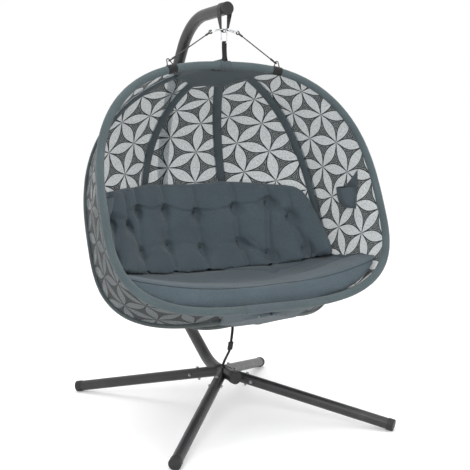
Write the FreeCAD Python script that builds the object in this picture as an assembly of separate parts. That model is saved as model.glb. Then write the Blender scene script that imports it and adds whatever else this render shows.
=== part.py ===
import FreeCAD, Part

import os
from math import asin, cos, hypot, pi, radians, sin, sqrt, tan

# Hanging egg chair for two, in millimetres.
# It is laid out about the stand's hub: +X to the sitter's left, -Y to the front, +Z up, floor at z = 0.
# At the end every piece moves along Y, so that the origin lies under the middle of the whole chair.

V = FreeCAD.Vector
X_AXIS = V(1, 0, 0)
Y_AXIS = V(0, 1, 0)
Z_AXIS = V(0, 0, 1)

# Stand
post_d = 57.0
post_wall = 2.0
hub_height = 187.0
post_end_front = -142.0
foot_bend_y = 130.0
foot_bend_radius = 300.0
foot_slope = 30.0
post_reach = 722.0
back_bend_radius = 680.0
arm_bend_radius = 1050.0
arm_slope = 54.3
head_bend_y = 348.0
arm_end_height = 1911.0
arm_end_y = -60.0
arm_droop = 2.6
head_bend_radius = 350.0
post_joint_height = 980.0
spigot_length = 72.0
spigot_bolt_drops = (22.0, 54.0)
tube_fit = 0.2

leg_d = 50.8
leg_wall = 2.0
leg_root_gap = 9.0
front_reach = 845.0
front_angle = 39.7
rear_reach = 798.0
rear_angle = 42.1
socket_length = 103.0
socket_insert = 87.0
leg_bolt_at = 125.0
leg_screw_at = 160.0
bolt_d = 8.0
bolt_clearance = 0.25
bolt_head_d = 14.0
bolt_head_h = 5.0
bolt_seat = 0.3
nut_depth = 4.0
nut_dome_r = 5.6
washer_d = 16.0
washer_t = 1.5

cap_wall = 2.2
cap_plate = 6.0
cap_skirt = 24.0
top_cap_skirt = 8.0
cap_round = 2.0
foot_flat = 1.5
floor_span = 2.0 * (front_reach + rear_reach)

# Hanger
hang_y = -28.0
belt_t = 2.5
belt_w_top = 45.0
belt_w_bottom = 18.0
belt_fit = 0.3
sling_bend_height = 1822.6
sling_bend_r = 17.0

ring_length = 70.0
ring_width = 38.0
ring_wire_d = 6.5
ring_spread = 8.8
ring_seat = 1.1
hinge_fit = 0.1
fork_fit = 0.2
side_ring_slope = 14.0
centre_ring_turn = 30.0
gate_length = 26.0
gate_pin_d = 2.4
gate_clearance = 0.5
tongue_t = 2.4

cable_d = 5.5
eye_r = 7.6
crimp_d = 9.5
crimp_length = 18.0
crimp_gap = 1.0

strap_w = 20.0
strap_t = 2.2
strap_spread = 13.0
strap_fork_height = 1692.0
strap_fork_bend = 22.0
strap_slack = 0.15

# Egg: the rim hoop and four ribs are half ovals about one axis, which leans forward at the foot
axis_top_y = -34.0
axis_top_z = 1650.0
axis_lean = 22.9
rib_spacing = 36.0
widest_at = 697.0
upper_power = 2.6
lower_power = 3.2
rim_half_width = 697.0
rim_top = -4.0
rim_bottom = 1153.0
outer_rib_depth = 768.0
inner_rib_depth = 748.0
rib_top = -24.0
rib_bottom = 1172.0

rim_tube_d = 25.4
rim_sleeve_d = 36.0
rib_tube_d = 19.0
rib_sleeve_w = 48.0
rib_sleeve_t = 24.0
frame_wall = 1.5
sleeve_fit = 0.3
rib_sleeve_start = 95.0
rib_tube_start = 45.0
panel_start = 112.0
panel_t = 2.4
arc_steps = 11
panel_steps = 14

bracket_r = 78.0
bracket_t = 5.0
bracket_fit = 0.1
bracket_bolt_at = 58.0
bracket_bolt_d = 6.0
bracket_head_d = 10.8
bracket_head_h = 2.5
bracket_nut_h = 1.5
patch_r = 148.0
inner_patch_r = 126.0
patch_depth = 6.0
patch_t = 2.4

band_x = 272.0
band_length = 46.0
band_t = 3.0
loop_wire_d = 5.0
loop_spread = 15.0
loop_stand = 30.0
loop_tip = 5.0
loop_bend = 6.0
eye_drop = 10.0
centre_band_reach = 27.6

# Cushions and pockets
soft_gap = 0.5
seat_middle = 655.0
seat_side_rise = 125.0
seat_front_rise = 22.0
seat_round = 26.0
seat_rise_power = 2.4
seat_front_gap = 1.5
seat_front_lean = 4.0
seat_belly = 26.0
seat_below = 60.0
seat_depth_below = 140.0
seat_rear_y = 420.0
seat_rear_drop = 8.0
seat_stations = (-720.0, -560.0, -380.0, -190.0, 0.0, 190.0, 380.0, 560.0, 720.0)
back_head = 1076.0
back_head_fall = 215.0
back_crest = 11.0
back_reach = 602.0
back_level_reach = 455.0
back_thick = 122.0
back_thin = 34.0
back_foot_share = 0.62
back_head_share = 0.5
back_rear_y = 640.0
back_steps = 5
tuft_ball_r = 38.0
tuft_depth = 15.0
tufts = ((-480, 930), (-380, 899), (-310, 962), (-148, 952), (22, 926), (224, 947), (386, 975), (468, 904),
         (-500, 790), (-330, 775), (-161, 782), (21, 756), (219, 778), (337, 725), (491, 755))
pocket_y = -112.0
pocket_w = 84.0
pocket_deep = 80.0
pocket_foot = 962.0
pocket_lip = 1068.0
pocket_peak = 1155.0
pocket_wall = 3.0
pocket_taper = 18.0
pocket_back = 12.0
pocket_probe = 60.0

# Tether
tether_top_y = -112.0
tether_foot_y = -9.0
tether_w = 14.0
tether_t = 2.0
buckle_w = 24.0
buckle_t = 9.0
buckle_length = 42.0
buckle_fit = 1.2
buckle_drop = 84.0
buckle_step = 16.0
buckle_slant = 14.0
tether_seat = 0.6
tether_foot_bend = 60.0
tether_top_bend = 120.0
wrap_turn = 55.0
wrap_w = 14.0
wrap_reach = 106.0
wrap_scrap = 60.0

lean = radians(axis_lean)
down_axis = V(0, -sin(lean), -cos(lean))
back_axis = V(0, cos(lean), -sin(lean))
axis_top = V(0, axis_top_y, axis_top_z)
parts = {}


def rounded_path(points, radii):
    """Straight runs joined by tangent arcs, one radius for each inner corner."""
    edges = []
    start = points[0]
    for before, corner, after, radius in zip(points, points[1:], points[2:], radii):
        to_before = (before - corner).normalize()
        to_after = (after - corner).normalize()
        half = to_before.getAngle(to_after) / 2
        first = corner + to_before * (radius / tan(half))
        last = corner + to_after * (radius / tan(half))
        inward = (to_before + to_after).normalize()
        middle = corner + inward * (radius / sin(half) - radius)
        if start.distanceToPoint(first) > 1e-4:
            edges.append(Part.makeLine(start, first))
        edges.append(Part.Arc(first, middle, last).toShape())
        start = last
    edges.append(Part.makeLine(start, points[-1]))
    return Part.Wire(edges)


def tangent_arc(start, heading, end):
    """The arc that leaves start along heading and ends at end."""
    chord = end - start
    turn = heading.getAngle(chord)
    if turn < 1e-4:
        return Part.makeLine(start, end)
    along = V(chord).normalize()
    bulge = (heading - along * heading.dot(along)).normalize()
    middle = (start + end) * 0.5 + bulge * (chord.Length / 2 * tan(turn / 2))
    return Part.Arc(start, middle, end).toShape()


def biarc(start, start_heading, end, end_heading):
    """Two arcs that join two points with the given headings."""
    chord = end - start
    both = start_heading + end_heading
    spread = 1 - start_heading.dot(end_heading)
    if spread < 1e-9:
        reach = chord.dot(chord) / (2 * chord.dot(both))
    else:
        run = chord.dot(both)
        reach = (-run + sqrt(run * run + 2 * spread * chord.dot(chord))) / (2 * spread)
    middle = (start + end + (start_heading - end_heading) * reach) * 0.5
    first = tangent_arc(start, start_heading, middle)
    last = tangent_arc(end, end_heading * -1, middle)
    return [first, last]


def swept(path, profile):
    """A solid with one steady section along a path."""
    return path.makePipeShell([profile], True, False)


def end_of(path):
    """The path's first point and its heading there."""
    edge = path.OrderedEdges[0]
    at = edge.FirstParameter
    if edge.Orientation == "Reversed":
        at = edge.LastParameter
    point = edge.valueAt(at)
    heading = edge.tangentAt(at)
    if (edge.CenterOfMass - point).dot(heading) < 0:
        heading = heading * -1
    return point, heading


def rod(path, diameter):
    point, heading = end_of(path)
    circle = Part.Wire([Part.Circle(point, heading, diameter / 2).toShape()])
    return swept(path, circle)


def tube(path, diameter, wall):
    return rod(path, diameter).cut(rod(path, diameter - 2 * wall))


def bar(start, end, diameter):
    run = end - start
    return Part.makeCylinder(diameter / 2, run.Length, start, run)


def extruded(points, thickness, direction):
    """A flat outline thickened evenly both ways along a direction."""
    way = V(direction).normalize()
    face = Part.Face(Part.makePolygon(points + [points[0]]))
    face.translate(way * (-thickness / 2))
    return face.extrude(way * thickness)


def mirrored(shape):
    return shape.mirror(V(0, 0, 0), X_AXIS)


# Stand: a bent post in two lengths, four sockets at its foot, and four legs

def post_corners():
    """Where the runs of the post's centre line meet, from the head to the foot."""
    back_z = hub_height + tan(radians(foot_slope)) * (post_reach - foot_bend_y)
    droop = tan(radians(arm_droop))
    fall = tan(radians(arm_slope))
    head_z = arm_end_height - droop * (head_bend_y - arm_end_y)
    arm_z = head_z - fall * (post_reach - head_bend_y)
    head = V(0, arm_end_y, arm_end_height)
    corner_head = V(0, head_bend_y, head_z)
    corner_arm = V(0, post_reach, arm_z)
    corner_back = V(0, post_reach, back_z)
    corner_foot = V(0, foot_bend_y, hub_height)
    foot = V(0, post_end_front, hub_height)
    return head, corner_head, corner_arm, corner_back, corner_foot, foot


def post_paths():
    """The centre lines of the post's upper and lower lengths, which meet at the joint behind the egg."""
    head, corner_head, corner_arm, corner_back, corner_foot, foot = post_corners()
    joint = V(0, post_reach, post_joint_height)
    upper = rounded_path([head, corner_head, corner_arm, joint], [head_bend_radius, arm_bend_radius])
    lower = rounded_path([foot, corner_foot, corner_back, joint], [foot_bend_radius, back_bend_radius])
    return upper, lower


def make_post():
    upper_path, lower_path = post_paths()
    spigot_d = post_d - 2 * post_wall - 2 * tube_fit
    low = V(0, post_reach, post_joint_height - spigot_length)
    high = V(0, post_reach, post_joint_height)
    spigot = bar(low, high, spigot_d).cut(bar(low, high, spigot_d - 2 * post_wall))
    upper = tube(upper_path, post_d, post_wall)
    collar = bar(high, high + V(0, 0, post_wall), post_d - 2 * post_wall)
    collar = collar.cut(bar(high, high + V(0, 0, post_wall), spigot_d - 2 * post_wall))
    upper = upper.fuse([spigot, collar]).removeSplitter()
    lower = tube(lower_path, post_d, post_wall)
    bolts = []
    for drop in spigot_bolt_drops:
        at = V(0, post_reach, post_joint_height - drop)
        hole = bar(at - Y_AXIS * post_d, at + Y_AXIS * post_d, bolt_d + 2 * bolt_clearance)
        upper = upper.cut(hole)
        lower = lower.cut(hole)
        bolts.append(through_bolt(at, Y_AXIS, post_d / 2))
    parts["post_upper"] = upper
    parts["post_lower"] = lower
    parts["post_joint_bolts"] = Part.makeCompound(bolts)


def through_bolt(at, direction, reach):
    """A bolt with a round head, and a cap nut on its far side, each seated on a tube of the given radius."""
    way = V(direction).normalize()
    head_seat = at + way * (reach + bolt_seat)
    nut_seat = at - way * (reach + bolt_seat)
    shank = bar(nut_seat, head_seat, bolt_d)
    washer = bar(head_seat, head_seat + way * washer_t, washer_d)
    head = bar(head_seat + way * washer_t, head_seat + way * (washer_t + bolt_head_h), bolt_head_d)
    nut = bar(nut_seat, nut_seat - way * bolt_head_h, bolt_head_d)
    dome = Part.makeSphere(nut_dome_r, nut_seat - way * bolt_head_h)
    return shank.fuse([washer, head, nut, dome]).removeSplitter()


def leg_line(side, front):
    """The leg's root on the post's axis, and the unit heading down along the leg."""
    angle = radians(front_angle if front else rear_angle)
    reach = front_reach if front else rear_reach
    facing = -1 if front else 1
    root = V(0, facing * leg_root_gap, hub_height)
    cap_r = leg_d / 2 + cap_wall
    fall = hub_height - cap_r + foot_flat
    level = V(side * sin(angle), facing * cos(angle), 0)
    heading = (level * reach - Z_AXIS * fall).normalize()
    return root, heading, hypot(reach, fall)


def make_legs():
    floor_cut = Part.makeBox(2 * floor_span, 2 * floor_span, post_d, V(-floor_span, -floor_span, -post_d))
    post_core = rod(post_paths()[1], post_d)
    bolts, nuts, screws, sockets, caps = [], [], [], [], []
    for front in (True, False):
        for side, side_name in ((1, "left"), (-1, "right")):
            name = ("front_" if front else "rear_") + side_name
            root, heading, length = leg_line(side, front)
            level = V(heading.x, heading.y, 0).normalize()
            up = heading.cross(level.cross(Z_AXIS)).normalize()
            if up.z < 0:
                up = up * -1
            across = heading.cross(up).normalize()
            end = root + heading * length
            socket_end = root + heading * socket_length
            insert_end = root + heading * (socket_length + socket_insert)
            insert_d = leg_d - 2 * leg_wall - 2 * tube_fit
            outer = bar(root, socket_end, leg_d).fuse(bar(root, insert_end, insert_d))
            socket = outer.cut(bar(root, insert_end, insert_d - 2 * leg_wall)).cut(post_core)
            socket = max(socket.Solids, key=lambda solid: solid.Volume)
            leg = bar(socket_end, end, leg_d).cut(bar(socket_end, end, leg_d - 2 * leg_wall))
            bolt_at = root + heading * leg_bolt_at
            screw_at = root + heading * leg_screw_at
            for at, way in ((bolt_at, up), (screw_at, across)):
                hole = bar(at - way * leg_d, at + way * leg_d, bolt_d + 2 * bolt_clearance)
                socket = socket.cut(hole)
                leg = leg.cut(hole)
            bolt, nut = split_bolt(bolt_at, up, leg_d / 2)
            bolts.append(bolt)
            nuts.append(nut)
            screws.append(through_bolt(screw_at, across, leg_d / 2))
            sockets.append(socket)
            parts["leg_" + name] = leg
            caps.append(end_cap(end, heading, leg_d, cap_skirt).cut(floor_cut))
    parts["leg_sockets"] = Part.makeCompound(sockets)
    parts["leg_caps"] = Part.makeCompound(caps)
    parts["leg_bolts"] = Part.makeCompound(bolts)
    parts["leg_cap_nuts"] = Part.makeCompound(nuts)
    parts["leg_screws"] = Part.makeCompound(screws)


def split_bolt(at, direction, reach):
    """A bolt and its own cap nut as two solids that meet on the thread."""
    way = V(direction).normalize()
    head_seat = at + way * (reach + bolt_seat)
    nut_seat = at - way * (reach + bolt_seat)
    tip = nut_seat - way * nut_depth
    shank = bar(tip, head_seat, bolt_d)
    washer = bar(head_seat, head_seat + way * washer_t, washer_d)
    head = bar(head_seat + way * washer_t, head_seat + way * (washer_t + bolt_head_h), bolt_head_d)
    nut = bar(nut_seat, nut_seat - way * bolt_head_h, bolt_head_d)
    dome = Part.makeSphere(nut_dome_r, nut_seat - way * bolt_head_h)
    bolt = shank.fuse([washer, head]).removeSplitter()
    nut = nut.fuse(dome).cut(bar(tip, head_seat, bolt_d))
    return bolt, nut


def end_cap(end, heading, tube_d, skirt):
    """A moulded cap over a tube's end: a plate with a rounded edge and a skirt round the tube."""
    cap_d = tube_d + 2 * cap_wall
    body = Part.makeCylinder(cap_d / 2, skirt + cap_plate, end - heading * skirt, heading)
    edges = []
    for edge in body.Edges:
        at_rim = edge.CenterOfMass.distanceToPoint(end + heading * cap_plate) < 0.01
        if edge.Closed and at_rim:
            edges.append(edge)
    body = body.makeFillet(cap_round, edges)
    return body.cut(Part.makeCylinder(tube_d / 2, skirt, end - heading * skirt, heading))


def make_post_caps():
    corners = post_corners()
    forward = (corners[0] - corners[1]).normalize()
    parts["post_cap_top"] = end_cap(corners[0], forward, post_d, top_cap_skirt)
    parts["post_cap_bottom"] = end_cap(corners[-1], Y_AXIS * -1, post_d, cap_skirt)


# Hanger: a webbing sling over the post's head, and three snap rings in its bend

def arm_height_at_hang():
    return arm_end_height - tan(radians(arm_droop)) * (hang_y - arm_end_y)


def belt_outline(top_centre, top_r, bottom_centre, bottom_r):
    """The outline round two circles, as a face across Y."""
    drop = (top_centre - bottom_centre).Length
    dip = (top_r - bottom_r) / drop
    out = V(sqrt(1 - dip * dip), 0, -dip)
    other = V(-out.x, 0, out.z)
    top_right = top_centre + out * top_r
    top_left = top_centre + other * top_r
    low_right = bottom_centre + out * bottom_r
    low_left = bottom_centre + other * bottom_r
    edges = [Part.Arc(top_left, top_centre + Z_AXIS * top_r, top_right).toShape(),
             Part.makeLine(top_right, low_right),
             Part.Arc(low_right, bottom_centre - Z_AXIS * bottom_r, low_left).toShape(),
             Part.makeLine(low_left, top_left)]
    return Part.Face(Part.Wire(edges))


def make_sling():
    top = V(0, hang_y - belt_w_top / 2, arm_height_at_hang())
    bottom = V(0, hang_y - belt_w_top / 2, sling_bend_height)
    tube_r = post_d / 2 + belt_fit
    outside = belt_outline(top, tube_r + belt_t, bottom, sling_bend_r + belt_t)
    inside = belt_outline(top, tube_r, bottom, sling_bend_r)
    belt = outside.extrude(Y_AXIS * belt_w_top).cut(inside.extrude(Y_AXIS * belt_w_top))
    shoulder = arm_height_at_hang() - post_d / 2
    low = sling_bend_height - sling_bend_r - belt_t - 1
    for facing in (-1, 1):
        edge_y = hang_y + facing * belt_w_top / 2
        narrow_y = hang_y + facing * belt_w_bottom / 2
        beyond = edge_y + facing * belt_w_top
        taper = [V(0, edge_y, shoulder), V(0, narrow_y, sling_bend_height), V(0, narrow_y, low),
                 V(0, beyond, low), V(0, beyond, shoulder)]
        wedge = extruded(taper, post_d * 2, X_AXIS)
        belt = belt.cut(wedge)
    # The arm droops a little, so the belt's mouth is cut to the arm with the same slack all along
    corners = post_corners()
    beyond = corners[0] + (corners[0] - corners[1]).normalize() * belt_w_top
    parts["sling"] = belt.cut(bar(beyond, corners[1], post_d + 2 * belt_fit))


def ring_geometry():
    bow_r = (ring_width - ring_wire_d) / 2
    straight = ring_length - ring_width
    return bow_r, straight


def ring_parts():
    """A snap ring in its own frame: its top bow's wire crosses the origin along Y, and it hangs down."""
    bow_r, straight = ring_geometry()
    top = V(0, 0, 0)
    high = -bow_r
    low = -bow_r - straight
    bottom = V(0, 0, low - bow_r)
    gate_top = high - (straight - gate_length) / 2
    gate_foot = gate_top - gate_length
    outline = [Part.Arc(V(0, bow_r, high), top, V(0, -bow_r, high)).toShape(),
               Part.makeLine(V(0, -bow_r, high), V(0, -bow_r, low)),
               Part.Arc(V(0, -bow_r, low), bottom, V(0, bow_r, low)).toShape(),
               Part.makeLine(V(0, bow_r, low), V(0, bow_r, high))]
    open_path = Part.Wire([Part.makeLine(V(0, bow_r, gate_top), V(0, bow_r, high)), outline[0], outline[1],
                           outline[2], Part.makeLine(V(0, bow_r, low), V(0, bow_r, gate_foot))])
    body = rod(open_path, ring_wire_d)
    wire_r = ring_wire_d / 2
    pin_at = V(0, bow_r, gate_foot + wire_r)
    root = V(-tongue_t / 2, bow_r - wire_r, gate_foot - hinge_fit)
    eye = Part.makeCylinder(wire_r, tongue_t, pin_at - X_AXIS * (tongue_t / 2), X_AXIS)
    tongue = Part.makeBox(tongue_t, ring_wire_d, wire_r + hinge_fit, root).fuse(eye)
    hole_r = (gate_pin_d + hinge_fit) / 2
    pin_hole = Part.makeCylinder(hole_r, 2 * ring_wire_d, pin_at - X_AXIS * ring_wire_d, X_AXIS)
    body = body.fuse(tongue).cut(pin_hole).removeSplitter()
    gate_low = pin_at.z - wire_r + gate_clearance
    gate = Part.makeCylinder(wire_r, gate_top - gate_clearance - gate_low, V(0, bow_r, gate_low), Z_AXIS)
    fork_w = tongue_t + 2 * fork_fit
    fork = Part.makeCylinder(wire_r + gate_clearance, fork_w, pin_at - X_AXIS * (fork_w / 2), X_AXIS)
    throat_at = V(-fork_w / 2, bow_r - ring_wire_d, gate_low - hinge_fit)
    throat = Part.makeBox(fork_w, 2 * ring_wire_d, wire_r, throat_at)
    heel = Part.makeCylinder(wire_r, ring_wire_d * 2, pin_at - X_AXIS * ring_wire_d, X_AXIS)
    foot_block = Part.makeBox(2 * ring_wire_d, 2 * ring_wire_d, pin_at.z - gate_low,
                              V(-ring_wire_d, bow_r - ring_wire_d, gate_low))
    gate = gate.cut(foot_block).fuse(gate.common(foot_block).common(heel))
    gate = gate.cut(fork).cut(throat).cut(pin_hole).removeSplitter()
    pin = Part.makeCylinder(gate_pin_d / 2, ring_wire_d, pin_at - X_AXIS * wire_r, X_AXIS)
    return body, gate, pin, pin_at


def bow_sag(half_width):
    """How far the inside of a ring's bow curves away within a half width of webbing."""
    inside_r = ring_geometry()[0] - ring_wire_d / 2
    return inside_r - sqrt(inside_r ** 2 - half_width ** 2)


def apex_height():
    """The height of the centre ring's top wire, where it rests on both edges of the sling's bend."""
    turn = radians(centre_ring_turn)
    half = belt_w_bottom / 2 / cos(turn)
    room = sling_bend_r - ring_wire_d / 2 - ring_seat
    return sling_bend_height - sqrt(room ** 2 - (half * sin(turn)) ** 2) + bow_sag(half)


def side_ring_ends():
    """The wire centres of the sitter's left side ring: in the sling's bend, and at the cable's eye."""
    slope = radians(side_ring_slope)
    sag = bow_sag(belt_w_bottom / 2)
    room = sling_bend_r - ring_wire_d / 2 - ring_seat / 2
    rest = sling_bend_height - sqrt(room ** 2 - (ring_spread + sag * cos(slope)) ** 2)
    near = V(ring_spread, hang_y, rest + sag * sin(slope))
    far = near + V(cos(slope), 0, -sin(slope)) * (ring_length - ring_wire_d)
    return near, far


def make_rings():
    body, gate, pin, pin_at = ring_parts()
    near = side_ring_ends()[0]
    swing = 90 - side_ring_slope
    homes = {"centre": (V(0, hang_y, apex_height()), FreeCAD.Rotation(Z_AXIS, centre_ring_turn)),
             "left": (near, FreeCAD.Rotation(Y_AXIS, -swing)),
             "right": (V(-near.x, near.y, near.z), FreeCAD.Rotation(Y_AXIS, swing))}
    pins = {}
    for name, (spot, turn) in homes.items():
        place = FreeCAD.Placement(spot, turn)
        placed = []
        for shape in (body, gate, pin):
            piece = shape.copy()
            piece.Placement = place
            placed.append(piece)
        parts["ring_" + name], parts["ring_gate_" + name], pins[name] = placed
        hinge = place.multVec(pin_at)
        axis = turn.multVec(X_AXIS)
        print("gate", name, "hinge", [round(v, 3) for v in hinge], "axis", [round(v, 5) for v in axis])
    parts["ring_pin_centre"] = pins["centre"]
    parts["ring_pins_side"] = Part.makeCompound([pins["left"], pins["right"]])


# Egg frame: the rim hoop and the ribs

def oval_point(side_angle, half_width, top, bottom, a):
    """A point of a half oval: side_angle turns it about the leaning axis, and a runs 0 at the top to pi."""
    upper = cos(a) > 0
    power = upper_power if upper else lower_power
    reach = widest_at - top if upper else bottom - widest_at
    out = half_width * (1 if sin(a) >= 0 else -1) * abs(sin(a)) ** (2 / power)
    along = widest_at - reach * (1 if upper else -1) * abs(cos(a)) ** (2 / power)
    way = back_axis * cos(radians(side_angle)) + X_AXIS * sin(radians(side_angle))
    return axis_top + down_axis * along + way * out


def guide(number, inset=0.0):
    """The sizes of frame member 0 to 5, from the rim's right half round the back to its left half."""
    angle = -90 + rib_spacing * number
    if number in (0, 5):
        return angle, rim_half_width - inset, rim_top + inset, rim_bottom - inset
    depth = outer_rib_depth if number in (1, 4) else inner_rib_depth
    return angle, depth - inset, rib_top + inset, rib_bottom - inset


def angle_at(number, out, lower=False):
    """The running angle where a member is the given distance from the axis."""
    width = guide(number)[1]
    power = lower_power if lower else upper_power
    a = asin((out / width) ** (power / 2))
    return pi - a if lower else a


def heading_at(number, a):
    step = 1e-3
    run = oval_point(*guide(number), a + step) - oval_point(*guide(number), a - step)
    return run.normalize()


def guide_wire(number, start, stop, steps):
    """A frame member's centre line as arcs."""
    edges = []
    for i in range(steps):
        a = start + (stop - start) * i / steps
        b = start + (stop - start) * (i + 1) / steps
        edges += biarc(oval_point(*guide(number), a), heading_at(number, a),
                       oval_point(*guide(number), b), heading_at(number, b))
    return Part.Wire(Part.__sortEdges__(edges))


def make_rim():
    path = guide_wire(5, 0, pi, arc_steps * 2)
    parts["rim_tube_left"] = tube(path, rim_tube_d, frame_wall)
    parts["rim_sleeve_left"] = rod(path, rim_sleeve_d).cut(rod(path, rim_tube_d + 2 * sleeve_fit))


def sleeve_profile(number, a, wide, thick):
    """An oval section across a rib, its width along the egg's skin."""
    point = oval_point(*guide(number), a)
    heading = heading_at(number, a)
    angle = radians(guide(number)[0])
    across = (back_axis * -sin(angle) + X_AXIS * cos(angle)).normalize()
    ellipse = Part.Ellipse(point + across * (wide / 2), point + heading.cross(across) * (thick / 2), point)
    return Part.Wire([ellipse.toShape()])


def make_ribs():
    for number in (1, 2):
        tube_start = angle_at(number, rib_tube_start)
        tube_stop = angle_at(number, rib_tube_start, True)
        sleeve_start = angle_at(number, rib_sleeve_start)
        sleeve_stop = angle_at(number, rib_sleeve_start, True)
        tube_path = guide_wire(number, tube_start, tube_stop, arc_steps)
        parts["rib_tube_%d" % number] = tube(tube_path, rib_tube_d, frame_wall)
        path = guide_wire(number, sleeve_start, sleeve_stop, arc_steps)
        outer = swept(path, sleeve_profile(number, sleeve_start, rib_sleeve_w, rib_sleeve_t))
        parts["rib_sleeve_%d" % number] = outer.cut(rod(path, rib_tube_d + 2 * sleeve_fit))


def spline_through(points):
    curve = Part.BSplineCurve()
    curve.interpolate(points)
    return curve.toShape()


def clear_of_sleeve(number, a, way):
    """How far along a direction a panel's edge has to stand from a member's centre to clear its sleeve."""
    heading = heading_at(number, a)
    if number in (0, 5):
        return (rim_sleeve_d / 2 + sleeve_fit) / sqrt(1 - way.dot(heading) ** 2)
    angle = radians(guide(number)[0])
    across = back_axis * -sin(angle) + X_AXIS * cos(angle)
    flat = way.dot(across) / (rib_sleeve_w / 2)
    deep = way.dot(heading.cross(across)) / (rib_sleeve_t / 2)
    return 1 / hypot(flat, deep) + panel_t / 2 + sleeve_fit


def panel_sides(number, a):
    """The two edge points of a panel at a running angle, and the skin's outward heading there."""
    right = oval_point(*guide(number), a)
    left = oval_point(*guide(number + 1), a)
    across = (left - right).normalize()
    down = (heading_at(number, a) + heading_at(number + 1, a)).normalize()
    outward = down.cross(across).normalize()
    middle = (right + left) * 0.5
    if outward.dot(middle - axis_top - down_axis * widest_at) < 0:
        outward = outward * -1
    right_edge = clear_of_sleeve(number, a, across)
    left_edge = clear_of_sleeve(number + 1, a, across)
    return right + across * right_edge, left - across * left_edge, outward


def make_panels():
    for number in range(3):
        start = max(angle_at(number, panel_start), angle_at(number + 1, panel_start))
        stop = min(angle_at(number, panel_start, True), angle_at(number + 1, panel_start, True))
        rows = {(side, face): [] for side in (0, 1) for face in (-1, 1)}
        for i in range(panel_steps + 1):
            a = start + (stop - start) * i / panel_steps
            right, left, outward = panel_sides(number, a)
            for face in (-1, 1):
                rows[(0, face)].append(right + outward * (face * panel_t / 2))
                rows[(1, face)].append(left + outward * (face * panel_t / 2))
        edges = {key: spline_through(points) for key, points in rows.items()}
        faces = [Part.makeRuledSurface(edges[(0, 1)], edges[(1, 1)]),
                 Part.makeRuledSurface(edges[(0, -1)], edges[(1, -1)]),
                 Part.makeRuledSurface(edges[(0, 1)], edges[(0, -1)]),
                 Part.makeRuledSurface(edges[(1, 1)], edges[(1, -1)])]
        for end in (0, -1):
            loop = [rows[key][end] for key in ((0, 1), (1, 1), (1, -1), (0, -1), (0, 1))]
            faces.append(Part.makeFilledFace(Part.makePolygon(loop).Edges))
        parts["panel_%d" % (number + 1)] = closed_solid(faces)


def closed_solid(faces):
    shell = Part.makeShell(faces)
    shell.sewShape()
    solid = Part.makeSolid(Part.Shell(shell.Faces))
    if solid.Volume < 0:
        solid.reverse()
    return solid


def half_disc(level, thickness, radius, front):
    """A half disc square to the egg's axis, behind the rim, from front to its radius."""
    base = axis_top + down_axis * level
    disc = Part.makeCylinder(radius, thickness, base, down_axis)
    near = base + back_axis * front
    far = base + back_axis * (2 * radius)
    corners = [near + X_AXIS * radius, near - X_AXIS * radius, far - X_AXIS * radius, far + X_AXIS * radius]
    return disc.common(extruded(corners, thickness * 4, down_axis))


def make_joints_and_patches():
    """The brackets where the ribs' ends are bolted, and the plain cloth over them, top and bottom."""
    front = band_radius() + sleeve_fit
    bolts = []
    for place, level, inward in (("top", rib_top, 1), ("bottom", rib_bottom, -1)):
        tube_at = oval_point(*guide(2), angle_at(2, bracket_r, place == "bottom"))
        sag = abs((tube_at - axis_top).dot(down_axis) - level)
        near = level + inward * (rib_tube_d / 2 + sag + bracket_fit)
        far = near + inward * bracket_t
        bracket = half_disc(min(near, far), bracket_t, bracket_r, front)
        for number in (1, 2):
            angle = radians(guide(number)[0])
            way = back_axis * cos(angle) + X_AXIS * sin(angle)
            at = axis_top + way * bracket_bolt_at
            outer_face = at + down_axis * (level - inward * (rib_tube_d / 2 + bracket_fit))
            inner_face = at + down_axis * far
            hole = bar(outer_face, inner_face, bracket_bolt_d + 2 * bolt_clearance)
            bracket = bracket.cut(hole).cut(mirrored(hole))
            parts["rib_tube_%d" % number] = parts["rib_tube_%d" % number].cut(hole)
            head = bar(outer_face, outer_face - down_axis * (inward * bracket_head_h), bracket_head_d)
            nut = bar(inner_face, inner_face + down_axis * (inward * bracket_nut_h), bracket_head_d)
            bolt = bar(outer_face, inner_face, bracket_bolt_d).fuse([head, nut]).removeSplitter()
            bolts += [bolt, mirrored(bolt)]
        parts["rib_bracket_" + place] = bracket
        inner_level = level + inward * (rib_sleeve_t / 2 + patch_depth)
        outer_level = level - inward * (rib_sleeve_t / 2 + soft_gap)
        inner_low = inner_level if inward > 0 else inner_level - patch_t
        outer_low = outer_level - patch_t if inward > 0 else outer_level
        layers = [half_disc(inner_low, patch_t, inner_patch_r, front),
                  half_disc(outer_low, patch_t, patch_r, front)]
        for panel in (parts["panel_1"], mirrored(parts["panel_1"])):
            layers = [largest(layer.cut(panel)) for layer in layers]
        parts["patch_" + place] = Part.makeCompound(layers)
    parts["rib_bolts"] = Part.makeCompound(bolts)


# Hanging gear on the rim: bands, loops, cables and the centre strap

def rim_spot(x):
    """The running angle on the rim's top where it is x from the middle."""
    return angle_at(5, abs(x))


def band_radius():
    return rim_sleeve_d / 2 + sleeve_fit + band_t


def rim_stretch(middle, length):
    """The rim's centre line for a length about a running angle."""
    step = 1e-3
    run = oval_point(*guide(5), middle + step) - oval_point(*guide(5), middle - step)
    half = length / 2 / (run.Length / (2 * step))
    return guide_wire(5, middle - half, middle + half, 2)


def centre_band():
    """A band round the rim's sleeve at the very top."""
    start = axis_top + down_axis * rim_top - X_AXIS * centre_band_reach
    band = Part.makeCylinder(band_radius(), centre_band_reach * 2, start, X_AXIS)
    return band.cut(Part.makeCylinder(rim_sleeve_d / 2 + sleeve_fit, centre_band_reach * 2, start, X_AXIS))


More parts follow.
